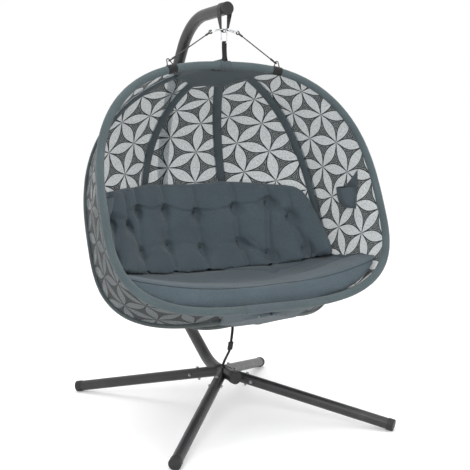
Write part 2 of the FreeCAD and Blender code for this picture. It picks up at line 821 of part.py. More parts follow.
def make_hanging_gear():
    spot = rim_spot(band_x)
    stretch = rim_stretch(spot, band_length)
    band = rod(stretch, 2 * band_radius()).cut(rod(stretch, rim_sleeve_d + 2 * sleeve_fit))
    parts["rim_bands"] = Part.makeCompound([band, mirrored(band), centre_band()])
    room = rod(rim_stretch(spot, band_length + 2 * sleeve_fit), 2 * band_radius() + 2 * sleeve_fit)
    parts["panel_1"] = largest(parts["panel_1"].cut(mirrored(room)))
    here = oval_point(*guide(5), spot)
    tangent = heading_at(5, spot)
    out = (tangent * tangent.dot(down_axis) - down_axis).normalize()
    tip = here + out * (band_radius() + loop_stand)
    sunk = here + out * (rim_sleeve_d / 2)
    corner_a = tip + tangent * loop_tip
    corner_b = tip - tangent * loop_tip
    feet = sunk + tangent * loop_spread, sunk - tangent * loop_spread
    loop = rod(rounded_path([feet[0], corner_a, corner_b, feet[1]], [loop_bend, loop_bend]), loop_wire_d)
    loop = loop.cut(rod(rim_stretch(spot, band_length + 2 * loop_spread), 2 * band_radius()))
    parts["rim_loops"] = Part.makeCompound([loop, mirrored(loop)])
    # The cable's lower eye goes round the loop's inner leg, just under its bend
    far = side_ring_ends()[1]
    leg = (feet[1] - corner_b).normalize()
    held = corner_b + leg * eye_drop
    pull = (held - far).normalize()
    cable, crimps = make_cable(far, held - pull * (eye_r - cable_d / 2 - loop_wire_d / 2 - belt_fit))
    parts["cable_left"] = cable
    parts["cable_right"] = mirrored(cable)
    parts["cable_crimps"] = Part.makeCompound(crimps + [mirrored(crimp) for crimp in crimps])
    parts["centre_strap"] = make_centre_strap()
    print("cable length", round((held - far).Length, 1), "ring far end", far, "loop", held)


def make_cable(top, foot):
    """A cable with two eyes: the top one goes round a ring's wire, the foot one round a loop's tip."""
    way = (foot - top).normalize()
    top_eye = Part.makeTorus(eye_r, cable_d / 2, top, Y_AXIS)
    foot_eye = Part.makeTorus(eye_r, cable_d / 2, foot, way.cross(Y_AXIS).normalize())
    start = top + way * eye_r
    stop = foot - way * eye_r
    run = bar(start, stop, cable_d)
    cable = run.fuse([top_eye, foot_eye]).removeSplitter()
    crimps = []
    clear = cable_d / 2 + crimp_gap
    for base, heading in ((start + way * clear, way), (stop - way * clear, way * -1)):
        crimp = Part.makeCylinder(crimp_d / 2, crimp_length, base, heading)
        crimps.append(crimp.cut(Part.makeCylinder(cable_d / 2, crimp_length, base, heading)))
    return cable, crimps


def make_centre_strap():
    """Doubled webbing over the centre ring's lower bow, its two legs spread on the rim's top."""
    turn = FreeCAD.Rotation(Z_AXIS, centre_ring_turn)
    side = turn.multVec(X_AXIS)
    width_way = turn.multVec(Y_AXIS)
    bow = V(0, hang_y, apex_height() - (ring_length - ring_wire_d))
    half = ring_wire_d / 2 + belt_fit + strap_t / 2
    crown = bow + Z_AXIS * (half + bow_sag(strap_w / 2) + belt_fit)
    rim_z = axis_top_z + cos(lean) * (-rim_top)
    foot_y = axis_top_y + sin(lean) * (-rim_top)
    base = V(0, foot_y, rim_z)
    fork_share = (bow.z - strap_fork_height) / (bow.z - rim_z)
    fork = V(0, hang_y + (foot_y - hang_y) * fork_share, strap_fork_height)
    points = [base + side * strap_spread, fork + side * half, crown + side * half,
              crown - side * half, fork - side * half, base - side * strap_spread]
    top_bend = half - strap_slack
    path = rounded_path(points, [strap_fork_bend, top_bend, top_bend, strap_fork_bend])
    first = points[0]
    heading = (points[1] - points[0]).normalize()
    thick_way = heading.cross(width_way).normalize()
    a = width_way * (strap_w / 2)
    b = thick_way * (strap_t / 2)
    profile = Part.makePolygon([first + a + b, first - a + b, first - a - b, first + a - b, first + a + b])
    strap = swept(path, Part.Wire(profile.Edges))
    start = axis_top + down_axis * rim_top - X_AXIS * centre_band_reach
    return strap.cut(Part.makeCylinder(band_radius(), 2 * centre_band_reach, start, X_AXIS))


def mirror_members():
    """The egg's other half: what lies on one side of the middle plane is repeated on the other."""
    pairs = {"rib_tube_4": "rib_tube_1", "rib_tube_3": "rib_tube_2", "rib_sleeve_4": "rib_sleeve_1",
             "rib_sleeve_3": "rib_sleeve_2", "panel_5": "panel_1", "panel_4": "panel_2",
             "rim_tube_right": "rim_tube_left", "rim_sleeve_right": "rim_sleeve_left"}
    for name, twin in pairs.items():
        parts[name] = mirrored(parts[twin])


# Soft goods inside the egg

def egg_room(rib_inset, rim_inset):
    """The egg's inner space as a solid, set in from the ribs' and the rim's centre lines."""
    curves = []
    steps = 2 * panel_steps
    for number in range(6):
        inset = rim_inset if number in (0, 5) else rib_inset
        curves.append([oval_point(*guide(number, inset), pi * i / steps) for i in range(steps + 1)])
    top = curves[0][0]
    bottom = curves[0][-1]
    for points in curves:
        points[0] = top
        points[-1] = bottom
    edges = [spline_through(points) for points in curves]
    faces = [Part.makeRuledSurface(edges[i], edges[i + 1]) for i in range(5)]
    faces.append(Part.Face(Part.Wire([edges[0], edges[5]])))
    return closed_solid(faces)


def rim_plane_y(z, behind):
    """The Y of the plane that lies a distance behind the rim's centre plane, at a height."""
    return axis_top_y + (z - axis_top_z) * tan(lean) + behind / cos(lean)


def seat_height(x):
    """How high the dished seat's top lies at x, apart from its raised front."""
    return seat_middle + seat_side_rise * (abs(x) / rim_half_width) ** seat_rise_power


def seat_section(x):
    """The seat pad's section at x: a bulged front, a rolled edge, and a dished top."""
    behind = rim_sleeve_d / 2 + soft_gap + seat_front_gap
    seam = seat_height(x) + seat_front_rise
    low = rim_bottom_height() - seat_below
    belly = rim_bottom_height() + seat_belly
    front_behind = behind + seat_front_lean
    foot = V(x, rim_plane_y(low, behind), low)
    front_low = V(x, rim_plane_y(belly, behind), belly)
    front_high = V(x, rim_plane_y(seam - seat_round, front_behind), seam - seat_round)
    front_middle = (front_low + front_high) * 0.5 - back_axis * seat_front_lean
    crown = V(x, rim_plane_y(seam, front_behind) + seat_round * 1.4, seam)
    shoulder = V(x, front_high.y + seat_round * 0.34, seam - seat_round * 0.32)
    rear = V(x, seat_rear_y, seat_height(x) - seat_rear_drop)
    dish = V(x, crown.y * 0.35 + rear.y * 0.65, seat_height(x) * 0.92 + seat_middle * 0.08)
    rear_low = V(x, seat_rear_y, low - seat_depth_below)
    foot_low = V(x, foot.y, low - seat_depth_below)
    edges = [Part.makeLine(foot, front_low),
             Part.Arc(front_low, front_middle, front_high).toShape(),
             Part.Arc(front_high, shoulder, crown).toShape(),
             Part.Arc(crown, dish, rear).toShape(),
             Part.makeLine(rear, rear_low),
             Part.makeLine(rear_low, foot_low),
             Part.makeLine(foot_low, foot)]
    return Part.Wire(edges)


def rim_bottom_height():
    return (axis_top + down_axis * rim_bottom).z


def make_seat(room):
    block = Part.makeLoft([seat_section(x) for x in seat_stations], True, False)
    cloth = rib_bottom - rib_sleeve_t / 2 - patch_depth - patch_t - soft_gap
    under = half_disc(cloth, rib_sleeve_t, inner_patch_r + soft_gap, 0)
    parts["seat_cushion"] = largest(room.common(block).cut(under))


def largest(shape):
    return max(shape.Solids, key=lambda solid: solid.Volume)


def skin_at_height(angle, z, inset):
    """A point of the egg's inner curve at an angle round the axis and at a height."""
    low, high = 0.3, pi - 0.05
    for i in range(40):
        a = (low + high) / 2
        point = oval_point(angle, inner_rib_depth - inset, rib_top + inset, rib_bottom - inset, a)
        if point.z > z:
            low = a
        else:
            high = a
    return point


def skin_at(x, z, inset):
    """The same curve's point at a distance from the middle plane and at a height."""
    low, high = 0.0, 89.0
    for i in range(30):
        angle = (low + high) / 2
        point = skin_at_height(angle, z, inset)
        if point.x < abs(x):
            low = angle
        else:
            high = angle
    return V(x, point.y, z)


def back_section(x):
    """The back pad's section at x: a crowned front, a rounded top, and a rear that runs past the wall."""
    share = abs(x) / back_reach
    fall = max(0.0, abs(x) - back_level_reach) / (back_reach - back_level_reach)
    head = back_head - back_head_fall * fall ** 2
    foot = seat_height(x) + soft_gap
    middle = (foot + head) / 2
    thick = back_thick - (back_thick - back_thin) * share ** 8
    wall = rib_sleeve_t / 2 + soft_gap
    front_foot = skin_at(x, foot, wall) - Y_AXIS * (back_foot_share * thick)
    front_middle = skin_at(x, middle, wall) - Y_AXIS * thick
    front_head = skin_at(x, head, wall) - Y_AXIS * (back_head_share * thick)
    crest = skin_at(x, head, wall) + Z_AXIS * back_crest
    rear_head = V(x, back_rear_y, head)
    rear_foot = V(x, back_rear_y, foot)
    edges = [Part.makeLine(rear_foot, rear_head),
             Part.Arc(rear_head, crest, front_head).toShape(),
             Part.Arc(front_head, front_middle, front_foot).toShape(),
             Part.makeLine(front_foot, rear_foot)]
    return Part.Wire(edges)


def make_back(room):
    stations = [back_reach * i / back_steps for i in range(-back_steps, back_steps + 1)]
    block = Part.makeLoft([back_section(x) for x in stations], True, False)
    pad = largest(room.common(block))
    for x, z in tufts:
        probe = Part.makeLine(V(x, -back_rear_y, z), V(x, back_rear_y, z))
        front_y = pad.common(probe).BoundBox.YMin
        pad = pad.cut(Part.makeSphere(tuft_ball_r, V(x, front_y - tuft_ball_r + tuft_depth, z)))
    parts["back_cushion"] = largest(pad)


def make_pockets():
    """Open-topped pouches on the two end panels, with a tall back and a low lip."""
    skin = panel_t / 2 + sleeve_fit
    room = egg_room(skin, skin)
    inner_room = egg_room(skin + pocket_wall, skin + pocket_wall)
    at_foot = V(0, pocket_y, pocket_foot + pocket_probe)
    wall_x = room.common(Part.makeLine(at_foot, at_foot + X_AXIS * outer_rib_depth)).BoundBox.XMax
    lip_x = wall_x - pocket_deep
    foot_x = lip_x + pocket_taper
    past_x = wall_x + pocket_probe
    above = pocket_peak + pocket_probe
    outline = [V(foot_x, pocket_y, pocket_foot), V(lip_x, pocket_y, pocket_lip),
               V(wall_x - pocket_back, pocket_y, pocket_peak), V(past_x, pocket_y, pocket_peak),
               V(past_x, pocket_y, pocket_foot)]
    hollow = [V(foot_x + pocket_wall, pocket_y, pocket_foot + pocket_wall),
              V(lip_x + pocket_wall, pocket_y, pocket_lip), V(lip_x, pocket_y, above),
              V(past_x, pocket_y, above), V(past_x, pocket_y, pocket_foot + pocket_wall)]
    pouch = extruded(outline, pocket_w, Y_AXIS).common(room)
    inside = extruded(hollow, pocket_w - 2 * pocket_wall, Y_AXIS).common(inner_room)
    pouch = largest(pouch.cut(inside))
    parts["pocket_left"] = pouch
    parts["pocket_right"] = mirrored(pouch)
    print("pocket wall x", round(wall_x, 1))


# Tether: a strap from the egg's underside to a webbing wrap round the post's foot

def panel_under(y):
    """The underside of the middle panel at x = 0 and the given y."""
    probe = Part.makeLine(V(0, y, 0), V(0, y, seat_middle))
    hit = parts["panel_3"].common(probe)
    return V(0, y, hit.BoundBox.ZMin)


def make_wrap():
    """Two crossing turns of webbing round the post, cut away where the leg sockets stand in their way."""
    start = V(0, tether_foot_y - wrap_reach, hub_height)
    turns = []
    for turn, lift in ((wrap_turn, 0), (-wrap_turn, tether_t + belt_fit)):
        inner_r = post_d / 2 + belt_fit + lift
        sleeve = Part.makeCylinder(inner_r + tether_t, 2 * wrap_reach, start, Y_AXIS)
        sleeve = sleeve.cut(Part.makeCylinder(inner_r, 2 * wrap_reach, start, Y_AXIS))
        corner = V(-3 * wrap_reach, -wrap_w / 2, hub_height - post_d)
        slab = Part.makeBox(6 * wrap_reach, wrap_w, 2 * post_d, corner)
        slab.rotate(V(0, 0, 0), Z_AXIS, turn)
        slab.translate(Y_AXIS * tether_foot_y)
        turns.append(sleeve.common(slab))
    wrap = Part.makeCompound(turns)
    for front in (True, False):
        for side in (1, -1):
            root, heading, length = leg_line(side, front)
            wrap = wrap.cut(bar(root, root + heading * length, leg_d + 2 * sleeve_fit))
    wrap = wrap.cut(rod(post_paths()[1], post_d))
    return [solid for solid in wrap.Solids if solid.Volume > wrap_scrap]


def flat_strap(path, width, thickness):
    """Webbing along a path in the middle plane, its width along X."""
    start, heading = end_of(path)
    a = X_AXIS * (width / 2)
    b = heading.cross(X_AXIS).normalize() * (thickness / 2)
    profile = Part.makePolygon([start + a + b, start - a + b, start - a - b, start + a - b, start + a + b])
    return swept(path, Part.Wire(profile.Edges))


def block_along(middle, way, length, height, width):
    """A block about a point of the middle plane: its length along a direction and its width along X."""
    up = way.cross(X_AXIS).normalize()
    corners = []
    for along, over in ((1, 1), (-1, 1), (-1, -1), (1, -1)):
        corners.append(middle + way * (along * length / 2) + up * (over * height / 2))
    return extruded(corners, width, X_AXIS)


def make_tether():
    parts["tether_wrap"] = Part.makeCompound(make_wrap())
    top = panel_under(tether_top_y)
    foot_z = hub_height + post_d / 2 + 2 * belt_fit + 2 * tether_t + tether_seat
    foot = V(0, tether_foot_y, foot_z)
    buckle_top = V(0, tether_top_y + buckle_step, top.z - buckle_drop)
    buckle_foot = V(0, tether_top_y + buckle_step + buckle_slant, buckle_top.z - buckle_length)
    corner_radii = [tether_foot_bend, tether_top_bend]
    path = rounded_path([foot, buckle_foot, buckle_top, top - Z_AXIS * tether_seat], corner_radii)
    way = (buckle_foot - buckle_top).normalize()
    middle = (buckle_top + buckle_foot) * 0.5
    buckle = block_along(middle, way, buckle_length, buckle_t, buckle_w)
    slot_t = tether_t + 2 * buckle_fit
    slot = block_along(middle, way, buckle_length + buckle_t, slot_t, tether_w + 2 * belt_fit)
    parts["tether_strap"] = flat_strap(path, tether_w, tether_t)
    parts["tether_buckle"] = buckle.cut(slot)
    print("tether strap", round(path.Length, 1), "top", top, "foot", foot)


make_post()
make_legs()
make_post_caps()
make_sling()
make_rings()
make_rim()
make_ribs()
make_panels()
make_joints_and_patches()
make_hanging_gear()
mirror_members()
seat_room = egg_room(rib_sleeve_t / 2 + soft_gap, rim_sleeve_d / 2 + soft_gap)
make_seat(seat_room)
make_back(seat_room)
make_pockets()
make_tether()

whole = Part.makeCompound(list(parts.values()))
box = whole.optimalBoundingBox(False)
shift = -(box.YMin + box.YMax) / 2
os.makedirs("parts", exist_ok=True)
for name, shape in parts.items():
    shape.translate(V(0, shift, 0))
    shape.exportStep("parts/%s.step" % name)
    if not shape.isValid():
        print("not valid:", name)
print("nodes", len(parts), "shift", round(shift, 4))
ends = (box.XMin, box.XMax, box.YMin + shift, box.YMax + shift, box.ZMin, box.ZMax)
print("box", [round(value, 2) for value in ends])
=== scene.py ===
from math import asin, cos, exp, hypot, pi, radians, sin, sqrt

import bmesh
import bpy
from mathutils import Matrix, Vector, noise
from mathutils.bvhtree import BVHTree


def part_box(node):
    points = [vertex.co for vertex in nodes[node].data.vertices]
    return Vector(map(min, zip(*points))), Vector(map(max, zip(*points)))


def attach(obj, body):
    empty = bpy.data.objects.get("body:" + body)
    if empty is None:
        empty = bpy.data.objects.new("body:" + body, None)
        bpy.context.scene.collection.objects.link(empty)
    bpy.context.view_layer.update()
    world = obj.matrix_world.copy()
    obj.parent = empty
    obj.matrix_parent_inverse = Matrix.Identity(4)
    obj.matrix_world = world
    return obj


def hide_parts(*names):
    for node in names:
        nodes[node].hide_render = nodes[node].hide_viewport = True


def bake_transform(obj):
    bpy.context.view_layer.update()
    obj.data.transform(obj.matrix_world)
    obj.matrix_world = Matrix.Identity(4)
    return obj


# Hanging egg chair for two, in metres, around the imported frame
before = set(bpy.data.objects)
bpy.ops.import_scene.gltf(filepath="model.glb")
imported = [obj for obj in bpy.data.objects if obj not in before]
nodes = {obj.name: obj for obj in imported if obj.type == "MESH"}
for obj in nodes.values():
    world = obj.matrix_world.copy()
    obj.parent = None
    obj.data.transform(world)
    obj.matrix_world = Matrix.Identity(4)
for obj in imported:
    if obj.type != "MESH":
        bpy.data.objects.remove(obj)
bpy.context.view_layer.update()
scene = bpy.context.scene

X_AXIS = Vector((1, 0, 0))
Y_AXIS = Vector((0, 1, 0))
Z_AXIS = Vector((0, 0, 1))

# The egg's frame: half ovals about one axis that leans forward at the foot
sling_low, sling_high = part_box("sling")
hang_y = (sling_low.y + sling_high.y) / 2
axis_top = Vector((0, hang_y - 0.006, 1.650))
lean = radians(22.9)
down_axis = Vector((0, -sin(lean), -cos(lean)))
back_axis = Vector((0, cos(lean), -sin(lean)))
rib_spacing = 36.0
widest_at = 0.697
upper_power = 2.6
lower_power = 3.2
rim_half_width = 0.697
rim_ends = (-0.004, 1.153)
rib_ends = (-0.024, 1.172)
outer_rib_depth = 0.768
inner_rib_depth = 0.748
rim_sleeve_r = 0.018
rib_sleeve_half_w = 0.024
rib_sleeve_half_t = 0.012
rib_sleeve_start = 0.095
panel_start = 0.112
panel_t = 0.0024
sleeve_fit = 0.0003
egg_heart = axis_top + down_axis * widest_at + back_axis * 0.25

# Soft goods
panel_bow = 0.006
tuck = 0.90
crown_reach = 0.24
band_x = 0.272
band_length = 0.046
band_r = 0.0213
centre_band_reach = 0.0276
foot_wrap_reach = 0.13
foot_wrap_r = 0.0205
webbing_t = 0.0024

# The belt over the post, the centre strap and the tether
post_r = 0.0285
belt_fit = 0.0003
belt_t = 0.0025
belt_w_top = 0.045
belt_w_bottom = 0.018
sling_bend_r = 0.017
strap_turn = radians(30)
strap_half_gap = 0.0046
strap_half_w = 0.0098
strap_t = 0.0021
strap_fork_z = 1.692
strap_foot_spread = 0.0128
strap_knee_spread = 0.0080
tether_half_w = 0.0069
tether_t = 0.0018

# Cushions: tufts as (x, z) on the back and (x, y) on the seat
high_tufts = ((-0.480, 0.930), (-0.380, 0.899), (-0.310, 0.962), (-0.148, 0.952),
              (0.022, 0.926), (0.224, 0.947), (0.386, 0.975), (0.468, 0.904))
low_tufts = ((-0.500, 0.790), (-0.330, 0.775), (-0.161, 0.782), (0.021, 0.756),
             (0.219, 0.778), (0.337, 0.725), (0.491, 0.755))
seat_tufts = ((-0.26, 0.10), (0.05, 0.17), (0.29, -0.03))
seat_middle = 0.655
seat_side_rise = 0.125
seat_half_w = 0.62
seat_rise_power = 2.4
roll_depth = 0.17
roll_back = 0.13
dip_reach = 0.56
dip_fade = 0.20
dip_depth = 0.022
slump_reach = 0.085
slump_height = 0.17
slump_sink = 0.018
blow_frames = 20
piping_middle = 0.671
piping_rise = 0.054
piping_half_w = 0.534
piping_power = 2.3
piping_step = 0.0225
piping_r = 0.0024


# Frame curves

def member(number):
    """The angle round the axis, the half width, and the ends of frame member 0 to 5; 0 and 5 are the rim."""
    angle = radians(-90 + rib_spacing * number)
    if number in (0, 5):
        return angle, rim_half_width, *rim_ends
    depth = outer_rib_depth if number in (1, 4) else inner_rib_depth
    return angle, depth, *rib_ends


def oval_point(number, a):
    """A point of a member's centre line; a runs from 0 at the top to pi."""
    angle, half_width, top, bottom = member(number)
    upper = cos(a) > 0
    power = upper_power if upper else lower_power
    reach = widest_at - top if upper else bottom - widest_at
    out = half_width * (1 if sin(a) >= 0 else -1) * abs(sin(a)) ** (2 / power)
    along = widest_at - reach * (1 if upper else -1) * abs(cos(a)) ** (2 / power)
    way = back_axis * cos(angle) + X_AXIS * sin(angle)
    return axis_top + down_axis * along + way * out


def heading_at(number, a):
    step = 1e-3
    return (oval_point(number, a + step) - oval_point(number, a - step)).normalized()


def angle_at(number, out, lower=False):
    """The running angle where a member is the given distance from the axis."""
    power = lower_power if lower else upper_power
    a = asin((out / member(number)[1]) ** (power / 2))
    return pi - a if lower else a


def even_angles(point_at, start, stop, count):
    """Running angles between start and stop at equal distances along a curve."""
    fine = 40 * count
    sums = [0.0]
    last = point_at(start)
    for i in range(1, fine + 1):
        here = point_at(start + (stop - start) * i / fine)
        sums.append(sums[-1] + (here - last).length)
        last = here
    angles = []
    i = 0
    for k in range(count + 1):
        goal = sums[-1] * k / count
        while i < fine and sums[i] < goal:
            i += 1
        angles.append(start + (stop - start) * i / fine)
    return angles


def across_member(number):
    angle = member(number)[0]
    return back_axis * -sin(angle) + X_AXIS * cos(angle)


def clear_of_sleeve(number, a, way):
    """How far along a direction a panel's edge stands from a member's centre."""
    heading = heading_at(number, a)
    if number in (0, 5):
        return (rim_sleeve_r + sleeve_fit) / sqrt(1 - way.dot(heading) ** 2)
    across = across_member(number)
    flat = way.dot(across) / rib_sleeve_half_w
    deep = way.dot(heading.cross(across)) / rib_sleeve_half_t
    return 1 / hypot(flat, deep) + panel_t / 2 + sleeve_fit


# Mesh makers

def finish_piece(name, bm, materials, body, replaced=()):
    mesh = bpy.data.meshes.new(name)
    bm.to_mesh(mesh)
    bm.free()
    mesh.shade_smooth()
    piece = bpy.data.objects.new(name, mesh)
    scene.collection.objects.link(piece)
    for material in materials:
        mesh.materials.append(material)
    if body:
        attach(piece, body)
    if replaced:
        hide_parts(*replaced)
    return piece


def mapped_grid(columns, rows, place, flat):
    """A grid whose points go where a rule puts them, with a flat map in metres."""
    bm = bmesh.new()
    layer = bm.loops.layers.uv.new("flat")
    bmesh.ops.create_grid(bm, x_segments=columns, y_segments=rows, size=0.5)
    shares = {}
    for vert in bm.verts:
        shares[vert] = (vert.co.x + 0.5, vert.co.y + 0.5)
    for face in bm.faces:
        for loop in face.loops:
            loop[layer].uv = flat(*shares[loop.vert])
    for vert, (u, v) in shares.items():
        vert.co = place(u, v)
    return bm


def face_away_from(bm, heart):
    bm.normal_update()
    total = 0.0
    for face in bm.faces:
        total += face.normal.dot(face.calc_center_median() - heart) * face.calc_area()
    if total < 0:
        bmesh.ops.reverse_faces(bm, faces=bm.faces)
    return bm


def close_up(bm):
    """Merge the grid's meeting edges, so that a tube's wall is closed, and face it outward."""
    bmesh.ops.remove_doubles(bm, verts=bm.verts, dist=2e-6)
    bmesh.ops.dissolve_degenerate(bm, edges=bm.edges, dist=1e-7)
    bmesh.ops.recalc_face_normals(bm, faces=bm.faces)
    return bm


def thicken(piece, thickness, offset=0.0, other_side=0):
    solid = piece.modifiers.new("thickness", "SOLIDIFY")
    solid.thickness = thickness
    solid.offset = offset
    solid.material_offset = other_side
    solid.material_offset_rim = other_side
    return piece


def tube_along(points, radius, sides=10):
    """A round cord's mesh along a smooth line through points."""
    curve = bpy.data.curves.new("line", "CURVE")
    curve.dimensions = "3D"
    curve.bevel_depth = radius
    curve.bevel_resolution = sides // 4
    curve.use_fill_caps = True
    curve.resolution_u = 3
    spline = curve.splines.new("NURBS")
    spline.points.add(len(points) - 1)
    for point, spot in zip(spline.points, points):
        point.co = (*spot, 1)
    spline.order_u = 3
    spline.use_endpoint_u = True
    holder = bpy.data.objects.new("line", curve)
    mesh = bpy.data.meshes.new_from_object(holder)
    bm = bmesh.new()
    bm.from_mesh(mesh)
    bpy.data.objects.remove(holder)
    bpy.data.meshes.remove(mesh)
    return close_up(bm)


# Materials

class Finish:
    """A material whose nodes are made and wired one call at a time."""

    def __init__(self, name):
        self.material = bpy.data.materials.new(name)
        self.material.use_nodes = True
        self.tree = self.material.node_tree
        self.tree.nodes.clear()

    def add(self, kind, sockets=None, **settings):
        made = self.tree.nodes.new("ShaderNode" + kind)
        for key, value in settings.items():
            setattr(made, key, value)
        for key, value in (sockets or {}).items():
            if isinstance(value, bpy.types.NodeSocket):
                self.tree.links.new(value, made.inputs[key])
            else:
                made.inputs[key].default_value = value
        return made

    def math(self, operation, *values):
        made = self.add("Math", dict(enumerate(values)), operation=operation)
        return made.outputs[0]

    def ramp(self, value, low, high):
        made = self.add("MapRange", {"Value": value, "From Min": low, "From Max": high})
        return made.outputs[0]

    def mix(self, share, first, second):
        made = self.add("Mix", {0: share, 6: first, 7: second}, data_type="RGBA")
        return made.outputs[2]

    def object_spot(self):
        return self.add("TexCoord").outputs["Object"]

    def flat_spot(self):
        return self.add("UVMap", uv_map="flat").outputs[0]

    def noise(self, spot, scale, detail=2.0, stretch=(1, 1, 1)):
        placed = self.add("Mapping", {"Vector": spot, "Scale": stretch}).outputs[0]
        made = self.add("TexNoise", {"Vector": placed, "Scale": scale, "Detail": detail})
        return made.outputs[0]

    def split(self, spot):
        made = self.add("SeparateXYZ", {0: spot})
        return made.outputs[0], made.outputs[1], made.outputs[2]

    def wave(self, value, period):
        """A smooth wave from 0 to 1 with a period in metres."""
        turned = self.math("SINE", self.math("MULTIPLY", value, 2 * pi / period))
        return self.math("MULTIPLY_ADD", turned, 0.5, 0.5)

    def surface(self, colour, roughness, height, depth, **sockets):
        bump = self.add("Bump", {"Height": height, "Distance": depth, "Strength": 1.0})
        inputs = {"Base Color": colour, "Roughness": roughness, "Normal": bump.outputs[0]}
        inputs.update({key.replace("_", " "): value for key, value in sockets.items()})
        shader = self.add("BsdfPrincipled", inputs)
        self.add("OutputMaterial", {"Surface": shader.outputs[0]})
        return self.material


def rgb(red, green, blue):
    """A colour named as it looks, from 0 to 1, as the shader's linear colour."""
    made = []
    for part in (red, green, blue):
        made.append(part / 12.92 if part <= 0.04045 else ((part + 0.055) / 1.055) ** 2.4)
    return (*made, 1.0)


def coated_metal(name, colour, roughness, speck=900.0):
    """Powder coat: a fine orange peel, faint scuffs and uneven gloss."""
    finish = Finish(name)
    spot = finish.object_spot()
    peel = finish.noise(spot, speck, 2.0)
    scuffs = finish.noise(spot, 9.0, 6.0, (1, 1, 0.35))
    worn = finish.ramp(scuffs, 0.52, 0.80)
    lighter = [min(1.0, part * 1.7 + 0.012) for part in colour[:3]] + [1.0]
    base = finish.mix(worn, colour, lighter)
    gloss = finish.math("MULTIPLY_ADD", finish.noise(spot, 30.0, 4.0), 0.16, roughness - 0.08)
    return finish.surface(base, gloss, peel, 0.00012, Metallic=0.0, Coat_Weight=0.12, Coat_Roughness=0.3)


def bright_steel(name, colour, roughness):
    finish = Finish(name)
    spot = finish.object_spot()
    brushed = finish.noise(spot, 260.0, 3.0, (1, 1, 0.12))
    gloss = finish.math("MULTIPLY_ADD", brushed, 0.14, roughness - 0.07)
    stain = finish.noise(spot, 40.0, 4.0)
    darker = [part * 0.72 for part in colour[:3]] + [1.0]
    base = finish.mix(finish.ramp(stain, 0.5, 0.75), colour, darker)
    return finish.surface(base, gloss, brushed, 0.00004, Metallic=1.0)


def moulded_plastic(name, colour):
    finish = Finish(name)
    spot = finish.object_spot()
    grain = finish.noise(spot, 1400.0, 2.0)
    dust = finish.noise(spot, 22.0, 5.0)
    lighter = [min(1.0, part * 1.5 + 0.01) for part in colour[:3]] + [1.0]
    base = finish.mix(finish.ramp(dust, 0.5, 0.8), colour, lighter)
    gloss = finish.math("MULTIPLY_ADD", dust, 0.2, 0.45)
    return finish.surface(base, gloss, grain, 0.0001, Specular_IOR_Level=0.4)


def woven_cloth(name, dark, light, thread=0.0016, flat=False, streak=0.0):
    """Plain weave of two yarn shades, uneven along its threads, with faint large patches."""
    finish = Finish(name)
    spot = finish.flat_spot() if flat else finish.object_spot()
    x, y, z = finish.split(spot)
    if flat:
        across, along = x, y
    else:
        across = finish.math("ADD", x, finish.math("MULTIPLY", y, 0.35))
        along = finish.math("ADD", z, finish.math("MULTIPLY", y, 0.65))
    weave = finish.math("MULTIPLY", finish.wave(across, thread * 2), finish.wave(along, thread * 2))
    yarn = finish.noise(spot, 420.0, 3.0, (1, 0.3, 0.3))
    cross_yarn = finish.noise(spot, 380.0, 3.0, (0.3, 1, 1))
    melange = finish.math("MULTIPLY_ADD", yarn, 0.5, finish.math("MULTIPLY", cross_yarn, 0.5))
    patches = finish.noise(spot, 7.0, 3.0)
    uneven = finish.math("MULTIPLY_ADD", patches, 0.7, -0.35)
    shade = finish.math("ADD", finish.ramp(melange, 0.28, 0.72), uneven)
    if streak:
        ridges = finish.noise(spot, 16.0, 5.0, (2.6, 0.4, 0.4))
        shade = finish.math("MULTIPLY_ADD", finish.ramp(ridges, 0.55, 0.72), streak, shade)
    base = finish.mix(shade, dark, light)
    height = finish.math("MULTIPLY_ADD", yarn, 0.6, weave)
    return finish.surface(base, 0.88, height, 0.0004, Sheen_Weight=0.15, Sheen_Roughness=0.5,
                          Specular_IOR_Level=0.25)


def webbing_cloth(name, dark, light):
    """Ribbed webbing along a strap, woven across its width."""
    finish = Finish(name)
    spot = finish.flat_spot()
    x, y, z = finish.split(spot)
    ribs = finish.wave(x, 0.0022)
    picks = finish.wave(finish.math("MULTIPLY_ADD", ribs, 0.0006, y), 0.0018)
    weave = finish.math("MULTIPLY_ADD", ribs, 0.6, finish.math("MULTIPLY", picks, 0.4))
    fuzz = finish.noise(spot, 700.0, 3.0)
    base = finish.mix(finish.math("MULTIPLY", weave, fuzz), dark, light)
    return finish.surface(base, 0.8, weave, 0.0005, Sheen_Weight=0.2, Sheen_Roughness=0.4,
                          Specular_IOR_Level=0.3)


petal_length = 0.160
petal_width = 0.050
cross_stretch = 1.10
pattern_starts = ((-0.068, 0.449), (0.045, 0.459), (0.064, 0.435), (0.0626, 0.539), (0.068, 0.449))


def petal_gap(finish, x, y):
    """The distance from the nearest petal of a triangle lattice, below 0 inside a petal."""
    row_gap = petal_length * sqrt(3) / 2
    nearest = None
    for turn in (0, 60, 120):
        c, s = cos(radians(turn)), sin(radians(turn))
        along = finish.math("ADD", finish.math("MULTIPLY", y, c), finish.math("MULTIPLY", x, s))
        over = finish.math("SUBTRACT", finish.math("MULTIPLY", x, c), finish.math("MULTIPLY", y, s))
        row = finish.math("ROUND", finish.math("DIVIDE", over, row_gap))
        off_row = finish.math("ABSOLUTE", finish.math("MULTIPLY_ADD", row, -row_gap, over))
        step = finish.math("MULTIPLY_ADD", row, -0.5, finish.math("DIVIDE", along, petal_length))
        share = finish.math("MULTIPLY_ADD", finish.math("FRACT", step), 2.0, -1.0)
        swell = finish.math("SUBTRACT", 1.0, finish.math("MULTIPLY", share, share))
        edge = finish.math("MULTIPLY", finish.math("POWER", swell, 1.45), petal_width / 2)
        gap = finish.math("SUBTRACT", off_row, edge)
        nearest = gap if nearest is None else finish.math("MINIMUM", nearest, gap)
    return nearest


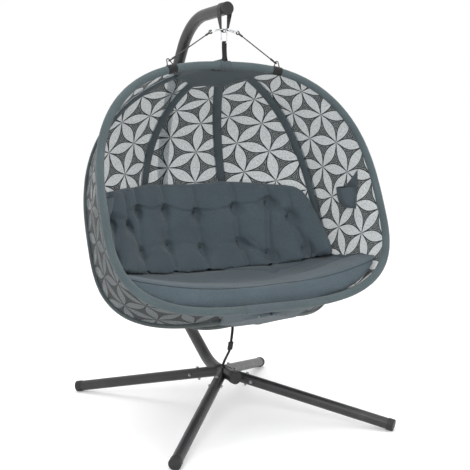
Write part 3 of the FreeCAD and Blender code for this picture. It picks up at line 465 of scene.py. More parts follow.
def petal_cloth(name, lightness, petal_cover, net_cover):
    """Panel cloth: sheer light petals between triangles of a dark net with drawn lines."""
    finish = Finish(name)
    spot = finish.flat_spot()
    wide, y, z = finish.split(spot)
    x = finish.math("DIVIDE", wide, cross_stretch)
    frayed = finish.math("MULTIPLY_ADD", finish.noise(spot, 330.0, 2.0), 0.0030, -0.0015)
    nearest = finish.math("ADD", petal_gap(finish, x, y), frayed)
    petal = finish.ramp(nearest, 0.0008, -0.0008)
    rings = finish.ramp(finish.wave(finish.math("ADD", nearest, 0.0012), 0.0074), 0.50, 0.75)
    clear = finish.ramp(nearest, 0.0022, 0.0036)
    near = finish.ramp(nearest, 0.0185, 0.0165)
    motif = finish.ramp(nearest, 0.0190, 0.0205)
    ringed = finish.math("MULTIPLY", finish.math("MULTIPLY", rings, near), clear)
    drawn = finish.math("MAXIMUM", ringed, motif)
    grain = finish.noise(spot, 430.0, 4.0, (1, 0.55, 1))
    coarse = finish.noise(spot, 170.0, 4.0, (1, 0.55, 1))
    speckle = finish.math("MULTIPLY_ADD", grain, 0.5, finish.math("MULTIPLY", coarse, 0.5))
    patches = finish.noise(spot, 6.0, 3.0)

    def shade(red, green, blue):
        return rgb(red * lightness, green * lightness, blue * lightness)

    grainy = finish.ramp(speckle, 0.36, 0.60)
    petal_light = finish.mix(grainy, shade(0.56, 0.60, 0.61), shade(0.86, 0.89, 0.90))
    net = finish.math("MULTIPLY", finish.wave(x, 0.0040), finish.wave(y, 0.0040))
    net_dark = finish.mix(finish.ramp(net, 0.2, 0.9), rgb(0.10, 0.115, 0.12), rgb(0.23, 0.255, 0.26))
    line_light = finish.mix(grainy, shade(0.34, 0.37, 0.37), shade(0.62, 0.66, 0.66))
    ground = finish.mix(finish.math("MULTIPLY", drawn, 0.85), net_dark, line_light)
    base = finish.mix(petal, ground, petal_light)
    worn = finish.math("MULTIPLY", finish.ramp(patches, 0.45, 0.75), 0.2)
    base = finish.mix(worn, base, shade(0.40, 0.44, 0.45))
    height = finish.math("ADD", finish.math("MULTIPLY", petal, 0.8), finish.math("MULTIPLY", speckle, 0.5))
    height = finish.math("MULTIPLY_ADD", net, -0.5, height)
    cover = finish.math("MULTIPLY_ADD", petal, petal_cover - net_cover, net_cover)
    return finish.surface(base, 0.86, height, 0.0008, Sheen_Weight=0.1, Sheen_Roughness=0.5,
                          Specular_IOR_Level=0.25, Alpha=cover)


stand_coat = coated_metal("stand powder coat", rgb(0.135, 0.138, 0.142), 0.42)
frame_coat = coated_metal("frame powder coat", rgb(0.10, 0.10, 0.105), 0.4)
cable_sheath = coated_metal("cable sheath", rgb(0.08, 0.08, 0.085), 0.45, 1600.0)
cap_plastic = moulded_plastic("cap plastic", rgb(0.125, 0.128, 0.132))
zinc_steel = bright_steel("zinc plated steel", rgb(0.62, 0.62, 0.63), 0.36)
ring_steel = bright_steel("polished ring steel", rgb(0.86, 0.87, 0.88), 0.17)
black_webbing = webbing_cloth("black webbing", rgb(0.05, 0.05, 0.055), rgb(0.22, 0.22, 0.23))
rim_cloth = woven_cloth("rim sleeve cloth", rgb(0.235, 0.275, 0.29), rgb(0.335, 0.385, 0.395),
                        flat=True, streak=0.3)
rib_cloth = woven_cloth("rib sleeve cloth", rgb(0.225, 0.262, 0.282), rgb(0.31, 0.352, 0.372), flat=True)
patch_cloth = woven_cloth("patch cloth", rgb(0.225, 0.262, 0.282), rgb(0.31, 0.352, 0.372), flat=True)
foot_cloth = woven_cloth("foot cloth", rgb(0.24, 0.28, 0.30), rgb(0.33, 0.375, 0.395), flat=True)
outer_rib_cloth = woven_cloth("outer rib cloth", rgb(0.17, 0.195, 0.195), rgb(0.30, 0.335, 0.33),
                              flat=True, streak=0.7)
cushion_cloth = woven_cloth("cushion cloth", rgb(0.245, 0.287, 0.312), rgb(0.325, 0.375, 0.402),
                            thread=0.0018)
pocket_cloth = woven_cloth("pocket cloth", rgb(0.24, 0.278, 0.302), rgb(0.315, 0.36, 0.385), flat=True)
petals_inside = petal_cloth("petal cloth inside", 0.98, 0.55, 0.86)
petals_outside = petal_cloth("petal cloth outside", 0.36, 0.45, 0.80)


# The CAD nodes that stay, with their finishes

def finish_nodes(material, *names):
    for name in names:
        for place in nodes[name].material_slots:
            place.material = material


finish_nodes(stand_coat, "post_upper", "post_lower", "leg_sockets", "leg_front_left", "leg_front_right",
             "leg_rear_left", "leg_rear_right")
finish_nodes(frame_coat, "rim_tube_left", "rim_tube_right", "rib_tube_1", "rib_tube_2", "rib_tube_3",
             "rib_tube_4", "rib_bracket_top", "rib_bracket_bottom", "rim_loops", "cable_crimps")
finish_nodes(cap_plastic, "leg_caps", "post_cap_top", "post_cap_bottom", "tether_buckle")
finish_nodes(zinc_steel, "post_joint_bolts", "leg_bolts", "leg_cap_nuts", "leg_screws", "rib_bolts")
finish_nodes(ring_steel, "ring_left", "ring_right", "ring_centre", "ring_gate_left", "ring_gate_right",
             "ring_gate_centre", "ring_pins_side", "ring_pin_centre")
finish_nodes(cable_sheath, "cable_left", "cable_right")


# Panels


def make_panel(number):
    """A stretched panel between two members, in the petal cloth, darker on its outside."""
    columns, rows = 30, 96
    start = max(angle_at(number, panel_start), angle_at(number + 1, panel_start))
    stop = min(angle_at(number, panel_start, True), angle_at(number + 1, panel_start, True))

    def middle_point(a):
        return (oval_point(number, a) + oval_point(number + 1, a)) * 0.5

    lines = []
    run = 0.0
    last = None
    for a in even_angles(middle_point, start, stop, rows):
        right = oval_point(number, a)
        left = oval_point(number + 1, a)
        across = (left - right).normalized()
        right += across * (clear_of_sleeve(number, a, across) * tuck)
        left -= across * (clear_of_sleeve(number + 1, a, across) * tuck)
        down = (heading_at(number, a) + heading_at(number + 1, a)).normalized()
        outward = down.cross(across).normalized()
        middle = (right + left) * 0.5
        if outward.dot(middle - axis_top - down_axis * widest_at) < 0:
            outward = outward * -1
        if last is not None:
            run += (middle - last).length
        last = middle
        lines.append((right, left, outward, (left - right).length, run))

    def place(u, v):
        right, left, outward, width, along = lines[round(v * rows)]
        drawn = panel_bow * 4 * u * (1 - u) * sin(pi * v) ** 0.5
        return right.lerp(left, u) - outward * drawn

    def flat(u, v):
        width, along = lines[round(v * rows)][3:]
        return (u - 0.5) * width - pattern_starts[number][0], run / 2 - along - pattern_starts[number][1]

    bm = face_away_from(mapped_grid(columns, rows, place, flat), egg_heart)
    area = sum(face.calc_area() for face in bm.faces)
    name = "panel_%d" % (number + 1)
    cloths = [petals_outside, petals_inside]
    piece = finish_piece("stretched_" + name, bm, cloths, "chair", [name])
    thicken(piece, panel_t / 2, 0.0, 1)
    return piece


# Sleeves

def make_rib_sleeve(number):
    columns, rows = 28, 150
    start = angle_at(number, rib_sleeve_start)
    stop = angle_at(number, rib_sleeve_start, True)
    angles = even_angles(lambda a: oval_point(number, a), start, stop, rows)
    across = across_member(number)
    length = sum((oval_point(number, b) - oval_point(number, a)).length for a, b in zip(angles, angles[1:]))

    def place(u, v):
        step = round(v * rows)
        point = oval_point(number, angles[step])
        deep = heading_at(number, angles[step]).cross(across)
        turn = 2 * pi * u
        full = 0.0 if step in (0, rows) else 1.0
        wide = rib_sleeve_half_w * cos(turn) * full
        thick = rib_sleeve_half_t * sin(turn) * abs(sin(turn)) ** 0.35 * full
        pucker = 1 + 0.05 * noise.noise(point * 28 + across * cos(turn))
        return point + across * wide + deep * (thick * pucker)

    def flat(u, v):
        return rib_sleeve_half_w * cos(2 * pi * u), v * length

    bm = close_up(mapped_grid(columns, rows, place, flat))
    for face in bm.faces:
        middle = face.calc_center_median()
        if face.normal.dot(middle - egg_heart) > 0.25 * (middle - egg_heart).length:
            face.material_index = 1
    name = "rib_sleeve_%d" % number
    return finish_piece("sewn_" + name, bm, [rib_cloth, outer_rib_cloth], "chair", [name])


def make_rim_sleeve(number, side):
    columns, rows = 24, 230
    angles = even_angles(lambda a: oval_point(number, a), 0.0, pi, rows)
    across = back_axis
    length = sum((oval_point(number, b) - oval_point(number, a)).length for a, b in zip(angles, angles[1:]))

    def place(u, v):
        step = round(v * rows)
        point = oval_point(number, angles[step])
        if step in (0, rows):
            return Vector((0, point.y, point.z))
        heading = heading_at(number, angles[step])
        inward = heading.cross(across).normalized()
        if inward.dot(egg_heart - point) < 0:
            inward = inward * -1
        turn = 2 * pi * u
        pucker = 0.0007 * noise.noise(Vector((cos(turn) * 1.5, sin(turn) * 1.5, v * length * 55)))
        seam = 0.0016 * exp(-((1 - cos(turn)) / 0.06))
        radius = rim_sleeve_r + pucker + seam
        return point + inward * (radius * cos(turn)) + across * (radius * sin(turn))

    def flat(u, v):
        turn = u if u <= 0.5 else u - 1
        return 2 * pi * rim_sleeve_r * turn, v * length

    bm = close_up(mapped_grid(columns, rows, place, flat))
    name = "rim_sleeve_" + side
    return finish_piece("sewn_" + name, bm, [rim_cloth], "chair", [name])


# Plain cloth over the ribs' ends, at the crown and at the foot, inside and outside

def crown_point(share, out, lower, outside):
    """A point of the cloth over the ribs; share runs from the rim's right half round to its left."""
    spot = share * 5
    number = min(int(spot), 4)
    found = []
    for k in (number, number + 1):
        a = angle_at(k, out, lower)
        point = oval_point(k, a)
        away = heading_at(k, a).cross(across_member(k)).normalized()
        if away.dot(point - egg_heart) < 0:
            away = away * -1
        if k in (0, 5):
            found.append(point + away * (0.009 * outside) + back_axis * 0.013)
        else:
            found.append(point + away * ((rib_sleeve_half_t + 0.0016) * outside))
    return found[0].lerp(found[1], spot - number)


def make_crown(name, lower, outside, material, node):
    columns, rows = 60, 16

    def place(u, v):
        scallop = 1 - 0.05 * abs(sin(5 * pi * u)) ** 1.5
        out = 0.004 + (crown_reach * scallop - 0.004) * v
        return crown_point(u, out, lower, outside)

    def flat(u, v):
        turn = pi * (u - 0.5)
        return crown_reach * v * sin(turn), crown_reach * v * cos(turn)

    bm = face_away_from(mapped_grid(columns, rows, place, flat), egg_heart)
    area = sum(face.calc_area() for face in bm.faces)
    piece = finish_piece(name, bm, [material], "chair", [node])
    thicken(piece, 0.0014)
    edge = tube_along([place(i / columns, 1.0) for i in range(columns + 1)], 0.0022)
    finish_piece(name + "_binding", edge, [material], "chair")
    return piece


def make_patches():
    make_crown("crown_inside", False, -1, patch_cloth, "patch_top")
    make_crown("crown_outside", False, 1, foot_cloth, "patch_top")
    make_crown("foot_inside", True, -1, patch_cloth, "patch_bottom")
    make_crown("foot_outside", True, 1, foot_cloth, "patch_bottom")


# Webbing wound on the rim

def make_band(name, number, middle, length, turns):
    columns, rows = 28, 60
    step = 1e-3
    speed = (oval_point(number, middle + step) - oval_point(number, middle - step)).length / (2 * step)
    half = length / 2 / speed
    across = back_axis

    def place(u, v):
        a = middle + half * (2 * v - 1)
        point = oval_point(number, a)
        heading = heading_at(number, a)
        side = heading.cross(across).normalized()
        turn = 2 * pi * u
        wound = abs(sin(pi * (v * turns + u)))
        radius = band_r - 0.0016 + 0.0016 * wound ** 0.5
        if v < 1e-6 or v > 1 - 1e-6:
            radius = rim_sleeve_r
        return point + side * (radius * cos(turn)) + across * (radius * sin(turn))

    def flat(u, v):
        return v * length, u * 2 * pi * band_r

    bm = close_up(mapped_grid(columns, rows, place, flat))
    return finish_piece(name, bm, [black_webbing], "chair", ["rim_bands"])


def make_middle_band(name, reach, radius, ridges, lower, material, replaced):
    """A wrap round the rim's middle, at its top or its bottom."""
    columns, rows = 28, 60

    def spine(x):
        number = 5 if x >= 0 else 0
        return oval_point(number, angle_at(number, abs(x), lower))

    def place(u, v):
        x = reach * (2 * v - 1)
        heading = (spine(x + 0.001) - spine(x - 0.001)).normalized()
        side = heading.cross(back_axis).normalized()
        turn = 2 * pi * u
        round_r = radius - 0.0016 * (1 - abs(sin(pi * (v * ridges + u))) ** 0.5) if ridges else radius
        if v < 1e-6 or v > 1 - 1e-6:
            round_r = rim_sleeve_r
        return spine(x) + side * (round_r * cos(turn)) + back_axis * (round_r * sin(turn))

    def flat(u, v):
        return v * 2 * reach, u * 2 * pi * radius

    bm = close_up(mapped_grid(columns, rows, place, flat))
    finish_piece(name, bm, [material], "chair", replaced)


def make_bands():
    spot = angle_at(5, band_x)
    make_band("rim_band_left", 5, spot, band_length, 5)
    make_band("rim_band_right", 0, spot, band_length, 5)
    make_middle_band("rim_band_centre", centre_band_reach, band_r, 6, False, patch_cloth,
                     ["rim_bands"])
    make_middle_band("foot_wrap", foot_wrap_reach, foot_wrap_r, 0, True, foot_cloth, [])


# Straps

def smooth_run(points, count):
    """Points along a smooth line through the given ones, and the distance run at each."""
    ends = [points[0] * 2 - points[1]] + list(points) + [points[-1] * 2 - points[-2]]
    pieces = len(points) - 1
    found = []
    for k in range(count + 1):
        t = k / count * pieces
        i = min(int(t), pieces - 1)
        t -= i
        p0, p1, p2, p3 = ends[i:i + 4]
        found.append(((p1 * 2) + (p2 - p0) * t + (p0 * 2 - p1 * 5 + p2 * 4 - p3) * t ** 2
                      + (p1 * 3 - p0 - p2 * 3 + p3) * t ** 3) * 0.5)
    sums = [0.0]
    for before, after in zip(found, found[1:]):
        sums.append(sums[-1] + (after - before).length)
    return found, sums


def strap_grid(line, sums, half_widths, width_way):
    """Flat webbing along a line, its width along one direction."""
    rows = len(line) - 1

    def place(u, v):
        step = round(v * rows)
        return line[step] + width_way * (half_widths[step] * (2 * u - 1))

    def flat(u, v):
        step = round(v * rows)
        return half_widths[step] * (2 * u - 1), sums[step]

    return mapped_grid(8, rows, place, flat)


def make_sling():
    """The sling's belt: over the post's arm, down on both sides, and round its bend, narrower there."""
    arm_r = post_r + belt_fit + belt_t / 2
    bend_r = sling_bend_r + belt_t / 2
    arm_z = sling_high.z - post_r - belt_fit - belt_t
    bend_z = sling_low.z + sling_bend_r + belt_t
    drop = arm_z - bend_z
    dip = (arm_r - bend_r) / drop
    tilt = asin(dip)
    count = 160
    line, widths = [], []
    top_share, low_share = 0.42, 0.2
    leg_share = (1 - top_share - low_share) / 2
    for k in range(count + 1):
        t = k / count
        if t < top_share / 2 or t > 1 - top_share / 2:
            swing = (t if t < 0.5 else t - 1) / (top_share / 2)
            turn = pi / 2 - swing * (pi / 2 + tilt)
            point = Vector((arm_r * cos(turn), hang_y, arm_z + arm_r * sin(turn)))
        elif abs(t - 0.5) < low_share / 2:
            turn = -pi / 2 - (t - 0.5) / (low_share / 2) * (pi / 2 - tilt)
            point = Vector((bend_r * cos(turn), hang_y, bend_z + bend_r * sin(turn)))
        else:
            side = 1 if t < 0.5 else -1
            run = (t - top_share / 2) / leg_share if t < 0.5 else (1 - top_share / 2 - t) / leg_share
            high = Vector((side * arm_r * cos(tilt), hang_y, arm_z - arm_r * sin(tilt)))
            low = Vector((side * bend_r * cos(tilt), hang_y, bend_z - bend_r * sin(tilt)))
            point = high.lerp(low, run)
        line.append(point)
        share = min(1.0, max(0.0, (point.z - bend_z) / (arm_z - post_r - bend_z)))
        widths.append((belt_w_bottom + (belt_w_top - belt_w_bottom) * share) / 2)
    sums = [0.0]
    for before, after in zip(line, line[1:]):
        sums.append(sums[-1] + (after - before).length)
    bm = strap_grid(line, sums, widths, Y_AXIS)
    close_up(bm)
    face_away_from(bm, Vector((0, hang_y, (arm_z + bend_z) / 2)))
    piece = finish_piece("sling_belt", bm, [black_webbing], None, ["sling"])
    thicken(piece, webbing_t)
    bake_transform(piece)


def make_centre_strap():
    """Doubled webbing from the centre ring's lower bow to the rim's top, its legs spread at the foot."""
    low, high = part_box("centre_strap")
    side = Vector((cos(strap_turn), sin(strap_turn), 0))
    width_way = Vector((-sin(strap_turn), cos(strap_turn), 0))
    foot = axis_top + down_axis * rim_ends[0]
    crown_z = high.z - 0.0012
    half = strap_half_gap
    fork_z = strap_fork_z
    fork_share = (crown_z - fork_z) / (crown_z - foot.z)
    fork_y = hang_y + (foot.y - hang_y) * fork_share
    rise = band_r - 0.001
    points = []
    for sign in (1, -1):
        knee = Vector((0, (foot.y + fork_y) / 2, (foot.z + rise + fork_z) / 2))
        leg = [Vector((0, foot.y, foot.z + rise * 0.86)) + side * (sign * strap_foot_spread),
               knee + side * (sign * strap_knee_spread),
               Vector((0, fork_y, fork_z + 0.004)) + side * (sign * (half + 0.0002)),
               Vector((0, hang_y, (fork_z + crown_z) / 2)) + side * (sign * half),
               Vector((0, hang_y, crown_z - half)) + side * (sign * half)]
        if sign > 0:
            points += leg + [Vector((0, hang_y, crown_z))]
        else:
            points += reversed(leg)
    line, sums = smooth_run(points, 110)
    bm = strap_grid(line, sums, [strap_half_w] * len(line), width_way)
    face_away_from(bm, Vector((0, hang_y, fork_z)))
    piece = finish_piece("centre_hanging_strap", bm, [black_webbing], "chair", ["centre_strap"])
    thicken(piece, strap_t)


def make_tether():
    """The tether's webbing in three lengths, one for each joint that it crosses, and its buckle."""
    low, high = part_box("tether_strap")
    buckle_low, buckle_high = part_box("tether_buckle")
    middle = (buckle_low + buckle_high) * 0.5
    foot = Vector((0, high.y - 0.0008, low.z + 0.0006))
    top = Vector((0, low.y + 0.0012, high.z))
    points = [foot, foot + Vector((0, -0.026, 0.034)), middle + Vector((0, 0.007, -0.021)),
              middle + Vector((0, -0.007, 0.021)), top + Vector((0, 0.002, -0.030)), top]
    line, sums = smooth_run(points, 120)
    cut_low = next(k for k, point in enumerate(line) if point.z > middle.z + 0.022)
    cut_high = next(k for k, point in enumerate(line) if point.z > middle.z + 0.040)
    lengths = (("tether_low", 0, cut_low, "stand", "sling", foot, middle - Z_AXIS * 0.024),
               ("tether_middle", cut_low, cut_high, "sling", "hanger", line[cut_low], line[cut_high]),
               ("tether_high", cut_high, len(line) - 1, "hanger", "chair", line[cut_high], top))
    for name, first, last, body_a, body_b, start, end in lengths:
        part = line[first:last + 1]
        bm = strap_grid(part, sums[first:last + 1], [tether_half_w] * len(part), X_AXIS)
        face_away_from(bm, middle + Y_AXIS)
        piece = finish_piece(name, bm, [black_webbing], None, ["tether_strap"])
        thicken(piece, tether_t)
        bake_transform(piece)
        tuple(start)
        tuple(end)


def cad_copy(name):
    """A CAD node's mesh as one closed skin."""
    bm = bmesh.new()
    bm.from_mesh(nodes[name].data)
    bmesh.ops.remove_doubles(bm, verts=bm.verts, dist=1e-5)
    return bm


def make_buckle():
    bm = cad_copy("tether_buckle")
    bmesh.ops.dissolve_limit(bm, angle_limit=radians(2), verts=bm.verts, edges=bm.edges)
    sharp = [edge for edge in bm.edges if len(edge.link_faces) == 2 and edge.calc_face_angle() > radians(30)]
    bmesh.ops.bevel(bm, geom=sharp, offset=0.0009, segments=2, affect="EDGES", profile=0.5, material=-1)
    return finish_piece("buckle", bm, [cap_plastic], "sling", ["tether_buckle"])


def make_wrap():
    bm = cad_copy("tether_wrap")
    return finish_piece("tether_wound", bm, [wrap_webbing], "stand", ["tether_wrap"])


wrap_webbing = woven_cloth("wrap webbing", rgb(0.10, 0.105, 0.11), rgb(0.28, 0.29, 0.30), thread=0.0011)


# Cushions

def soft_copy(name, voxel, shrink):
    """A CAD cushion as an even net of faces, drawn in a little before it is blown up."""
    bm = cad_copy(name)
    mesh = bpy.data.meshes.new(name)
    bm.to_mesh(mesh)
    bm.free()
    piece = bpy.data.objects.new("soft_" + name, mesh)
    scene.collection.objects.link(piece)
    remesh = piece.modifiers.new("even", "REMESH")
    remesh.mode = "VOXEL"
    remesh.voxel_size = voxel
    settle(piece)
    bm = bmesh.new()
    bm.from_mesh(piece.data)
    for i in range(2):
        bmesh.ops.smooth_vert(bm, verts=bm.verts, factor=0.5, use_axis_x=True, use_axis_y=True,
                              use_axis_z=True)
    bm.normal_update()
    for vert in bm.verts:
        vert.co -= vert.normal * shrink
    bm.to_mesh(piece.data)
    bm.free()
    return piece


def settle(piece):
    """Keep what the modifiers make as the piece's own mesh."""
    graph = bpy.context.evaluated_depsgraph_get()
    graph.update()
    mesh = bpy.data.meshes.new_from_object(piece.evaluated_get(graph))
    piece.modifiers.clear()
    old = piece.data
    piece.data = mesh
    bpy.data.meshes.remove(old)


def blow_up(piece, pressure, held, cap):
    """Cloth under pressure for some frames; no point moves further than its cap."""
    before = [vert.co.copy() for vert in piece.data.vertices]
    group = piece.vertex_groups.new(name="held")
    for vert in piece.data.vertices:
        weight = held(vert.co)
        if weight > 0.01:
            group.add([vert.index], weight, "REPLACE")
    cloth = piece.modifiers.new("cloth", "CLOTH")
    cloth.settings.quality = 4
    cloth.settings.mass = 0.3
    cloth.settings.tension_stiffness = 12
    cloth.settings.compression_stiffness = 8
    cloth.settings.shear_stiffness = 6
    cloth.settings.bending_stiffness = 0.4
    cloth.settings.use_pressure = True
    cloth.settings.uniform_pressure_force = pressure
    cloth.settings.vertex_group_mass = "held"
    cloth.settings.effector_weights.gravity = 0
    cloth.collision_settings.use_collision = False
    cloth.point_cache.frame_start = 1
    cloth.point_cache.frame_end = blow_frames
    for number in range(1, blow_frames + 1):
        scene.frame_set(number)
    settle(piece)
    scene.frame_set(1)
    piece.vertex_groups.clear()
    for vert, start in zip(piece.data.vertices, before):
        moved = vert.co - start
        most = cap(start)
        if moved.length > most:
            vert.co = start + moved * (most / moved.length)


def from_segment(x, z, start, end):
    """The distance in the front view from a line between two tufts."""
    along = (end[0] - start[0], end[1] - start[1])
    length = hypot(*along)
    share = ((x - start[0]) * along[0] + (z - start[1]) * along[1]) / length ** 2
    share = min(1.0, max(0.0, share))
    return hypot(x - start[0] - along[0] * share, z - start[1] - along[1] * share)


def soften(piece, rule):
    """Move each point of a cushion by a rule of its place and normal."""
    bm = bmesh.new()
    bm.from_mesh(piece.data)
    bm.normal_update()
    moves = {vert: rule(vert.co, vert.normal) for vert in bm.verts}
    for vert, move in moves.items():
        vert.co += move
    bm.to_mesh(piece.data)
    bm.free()


def smoother(piece, levels):
    subdivision = piece.modifiers.new("smooth", "SUBSURF")
    subdivision.levels = levels
    subdivision.render_levels = levels
    settle(piece)


def seat_height(x):
    return seat_middle + seat_side_rise * (abs(x) / seat_half_w) ** seat_rise_power


def bell(gap, width):
    return exp(-(gap / width) ** 2)


def dress_cushion(piece, node):
    smoother(piece, 1)
    piece.data.materials.clear()
    piece.data.materials.append(cushion_cloth)
    piece.data.shade_smooth()
    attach(piece, "chair")
    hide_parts(node)
    return piece


def make_seat():
    piece = soft_copy("seat_cushion", 0.012, 0.005)
    blow_up(piece, 4.0, lambda co: 0.0, lambda co: 0.005)
    left, middle, right = seat_tufts
    creases = [(left, middle), (middle, right), (left, (-0.34, 0.27)), (middle, (0.02, 0.31)),
               (right, (0.36, 0.17)), (right, (0.47, -0.02)), (left, (-0.46, 0.02))]
    seat_front = min(vert.co.y for vert in piece.data.vertices)

    def crumple(co, normal):
        top = max(0.0, normal.z)
        behind = co.y - seat_front - 0.35 * max(0.0, co.z - 0.66)
        roll = min(1.0, max(0.0, (behind - roll_depth) / roll_back))
        fade = min(1.0, max(0.0, (dip_reach - behind) / dip_fade))
        dip = dip_depth * roll * roll * (3 - 2 * roll) * fade * fade * (3 - 2 * fade)
        tuft = min(hypot(co.x - x, co.y - y) for x, y in seat_tufts)
        crease = max(bell(from_segment(co.x, co.y, start, end), 0.012) for start, end in creases)
        wide = noise.noise(Vector((co.x * 3.1, co.y * 4.5, 0.3))) * 0.006
        fine = noise.noise(Vector((co.x * 11, co.y * 9, 2.7))) * 0.0022
        sunk = dip + 0.009 * crease + 0.016 * bell(tuft, 0.02)
        return normal * ((wide + fine) * top - 0.001) - Z_AXIS * (top * sunk)

    soften(piece, crumple)
    return dress_cushion(piece, "seat_cushion")


def make_back():
    piece = soft_copy("back_cushion", 0.009, 0.004)
    spots = high_tufts + low_tufts
    folds = []
    for x, z in high_tufts:
        near = min(low_tufts, key=lambda low: abs(low[0] - x))
        folds.append(((x, z), near))
        folds.append(((x, z), (x * 1.015, z + 0.13)))
    for x, z in low_tufts:
        folds.append(((x, z), (x * 1.03 + 0.004, z - 0.12)))
    folds.append((low_tufts[4], low_tufts[5]))

    def near_tuft(co):
        return min(hypot(co.x - x, co.z - z) for x, z in spots)

    def held(co):
        return 1.0 if near_tuft(co) < 0.012 and co.y < 0.4 else 0.0

    blow_up(piece, 4.0, held, lambda co: 0.010 if near_tuft(co) > 0.02 else 0.002)

    def gather(co, normal):
        front = min(1.0, max(0.0, 0.35 - normal.y))
        gap = near_tuft(co)
        dimple = 0.014 * bell(gap, 0.016) + 0.010 * bell(gap, 0.045)
        crease = max(bell(from_segment(co.x, co.z, start, end), 0.010) for start, end in folds)
        swell = max(bell(from_segment(co.x, co.z, start, end), 0.032) for start, end in folds)
        ripple = noise.noise(Vector((co.x * 14, co.y * 5, co.z * 6))) * 0.003
        low = min(1.0, max(0.0, 1 - (co.z - seat_height(co.x) - 0.015) / slump_height))
        forward = slump_reach * front * low ** 1.4 * (1 + 6 * ripple)
        slump = Y_AXIS * -forward - Z_AXIS * (slump_sink * low ** 3)
        return normal * (front * (ripple - dimple - 0.013 * crease - 0.006 * swell + 0.004)) + slump

    soften(piece, gather)
    return dress_cushion(piece, "back_cushion")


def skin_tree(piece):
    bm = bmesh.new()
    bm.from_mesh(piece.data)
    tree = BVHTree.FromBMesh(bm)
    bm.free()
    return tree


def make_tuft_buttons(back):
    tree = skin_tree(back)
    bm = bmesh.new()
    for x, z in high_tufts + low_tufts:
        hit = tree.ray_cast(Vector((x, -1.0, z)), Y_AXIS)
        if hit[0] is None:
            continue
        made = bmesh.ops.create_uvsphere(bm, u_segments=14, v_segments=8, radius=0.0075)
        bmesh.ops.scale(bm, verts=made["verts"], vec=(1, 0.45, 1))
        bmesh.ops.translate(bm, verts=made["verts"], vec=hit[0] - Y_AXIS * 0.001)
    return finish_piece("tuft_buttons", bm, [button_cloth], "chair")


button_cloth = woven_cloth("tuft button cloth", rgb(0.17, 0.20, 0.22), rgb(0.28, 0.32, 0.34), thread=0.0012)


# Pockets

def make_pocket(side, wall):
    """A gathered pouch on an end panel with a hemmed mouth and a flat cloth back above it."""
    name = "pocket_" + side
    low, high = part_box(name)
    sign = 1 if side == "left" else -1
    columns, rows = 24, 20
    lip_z = low.z + 0.106
    depth = 0.072

    def wall_x(y, z):
        hit = wall.ray_cast(Vector((0, y, z)), X_AXIS * sign)
        return hit[0].x if hit[0] else sign * 0.66

    def place(u, v):
        y = low.y + 0.001 + (high.y - low.y - 0.002) * u
        z = low.z + 0.002 + (lip_z - low.z - 0.002) * v
        round_u = max(0.0, 1 - abs(2 * u - 1) ** 3.5) ** 0.5
        round_v = max(0.0, 1 - (1 - v) ** 3) ** 0.5
        bulge = depth * round_u * round_v * (0.86 + 0.14 * v)
        sag = 0.006 * sin(pi * u) * v ** 3
        fold = 0.002 * sin(u * 19 + 1.3) * v * round_u
        return Vector((wall_x(y, z) - sign * (0.0035 + bulge + fold), y, z - sag))

    def flat(u, v):
        return (u - 0.5) * 0.2, v * 0.15

    bm = face_away_from(mapped_grid(columns, rows, place, flat), Vector((sign, low.y + 0.04, low.z + 0.05)))
    area = sum(face.calc_area() for face in bm.faces)
    pouch = finish_piece(name + "_pouch", bm, [pocket_cloth], "chair", [name])
    thicken(pouch, 0.0016)

    def back_place(u, v):
        y = low.y + 0.001 + (high.y - low.y - 0.002) * u
        peak = (high.z - lip_z - 0.004) * (1 - u) ** 1.15 + 0.004
        z = low.z + 0.002 + (lip_z - low.z + peak) * v
        return Vector((wall_x(y, z) - sign * 0.0022, y, z))

    def back_flat(u, v):
        return (u - 0.5) * 0.084, v * 0.19

    bm = mapped_grid(16, 24, back_place, back_flat)
    face_away_from(bm, Vector((sign, low.y + 0.04, low.z + 0.05)))
    area = sum(face.calc_area() for face in bm.faces)
    cloth = finish_piece(name + "_back", bm, [pocket_cloth], "chair", [name])
    thicken(cloth, 0.0012)
    mouth = [place(u / 20, 1.0) for u in range(21)]
    finish_piece(name + "_hem", tube_along(mouth, 0.0026), [pocket_cloth], "chair")


# Piping on the cushions

def make_piping(name, tree, spots, way, radius):
    line = []
    for spot in spots:
        hit = tree.ray_cast(spot, way)
        if hit[0] is not None:
            line.append(hit[0] - way * (radius * 0.3))
    return finish_piece(name, tube_along(line, radius), [button_cloth], "chair")


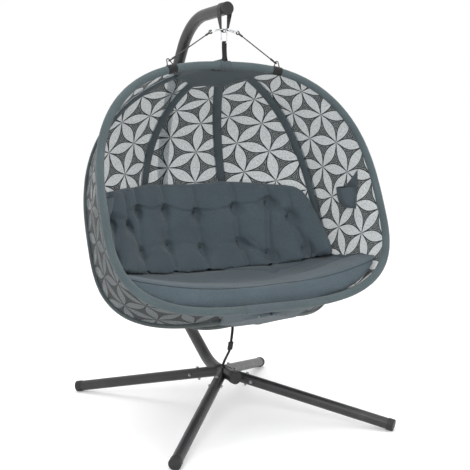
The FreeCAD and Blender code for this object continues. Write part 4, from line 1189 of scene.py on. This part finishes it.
for number in range(5):
    make_panel(number)
for number in range(1, 5):
    make_rib_sleeve(number)
make_rim_sleeve(5, "left")
make_rim_sleeve(0, "right")
make_patches()
make_bands()
make_sling()
make_centre_strap()
make_tether()
make_buckle()
make_wrap()
seat = make_seat()
back = make_back()
make_tuft_buttons(back)
seat_skin = skin_tree(seat)
seat_seam = []
for i in range(-27, 28):
    x = i * piping_step
    z = piping_middle + piping_rise * (abs(x) / piping_half_w) ** piping_power
    seat_seam.append(Vector((x, -1.0, z)))
make_piping("seat_piping", seat_skin, seat_seam, Y_AXIS, piping_r)
left_wall = skin_tree(bpy.data.objects["stretched_panel_5"])
right_wall = skin_tree(bpy.data.objects["stretched_panel_1"])
make_pocket("left", left_wall)
make_pocket("right", right_wall)


# Floor, light and camera

floor_half = 14
camera_at = (-2.0616, -4.2184, 1.46)
camera_tilt = radians(82.59)
camera_turn = radians(-27.02)
camera_lens = 75.236
egg_middle = (0, 0, 0.9)


def make_floor():
    bm = bmesh.new()
    bmesh.ops.create_grid(bm, x_segments=1, y_segments=1, size=floor_half)
    mesh = bpy.data.meshes.new("floor")
    bm.to_mesh(mesh)
    bm.free()
    floor = bpy.data.objects.new("floor", mesh)
    scene.collection.objects.link(floor)
    finish = Finish("pale floor")
    spot = finish.object_spot()
    mottle = finish.noise(spot, 3.0, 3.0)
    base = finish.mix(mottle, rgb(0.97, 0.97, 0.97), rgb(0.99, 0.99, 0.99))
    glow = {"Emission_Color": (1.0, 1.0, 1.0, 1.0), "Emission_Strength": 0.12}
    mesh.materials.append(finish.surface(base, 0.9, mottle, 0.0001, **glow))


def make_light(name, spot, aim, size, power):
    data = bpy.data.lights.new(name, "AREA")
    data.shape = "DISK"
    data.size = size
    data.energy = power
    light = bpy.data.objects.new(name, data)
    scene.collection.objects.link(light)
    light.location = spot
    light.rotation_euler = (Vector(aim) - Vector(spot)).to_track_quat("-Z", "Y").to_euler()


def make_camera():
    data = bpy.data.cameras.new("camera")
    data.lens = camera_lens
    data.sensor_width = 36.0
    camera = bpy.data.objects.new("camera", data)
    scene.collection.objects.link(camera)
    camera.location = camera_at
    camera.rotation_euler = (camera_tilt, 0, camera_turn)
    scene.camera = camera


make_floor()
world = bpy.data.worlds.new("studio")
world.use_nodes = True
world.node_tree.nodes["Background"].inputs[0].default_value = (1.0, 1.0, 1.0, 1.0)
world.node_tree.nodes["Background"].inputs[1].default_value = 1.0
scene.world = world
scene.view_settings.view_transform = "Standard"
make_light("key", (-3.2, -4.4, 4.2), egg_middle, 3.0, 120)
make_light("fill", (4.2, -3.0, 2.6), egg_middle, 3.5, 40)
make_light("top", (0.0, 0.5, 4.6), egg_middle, 3.0, 60)
make_camera()
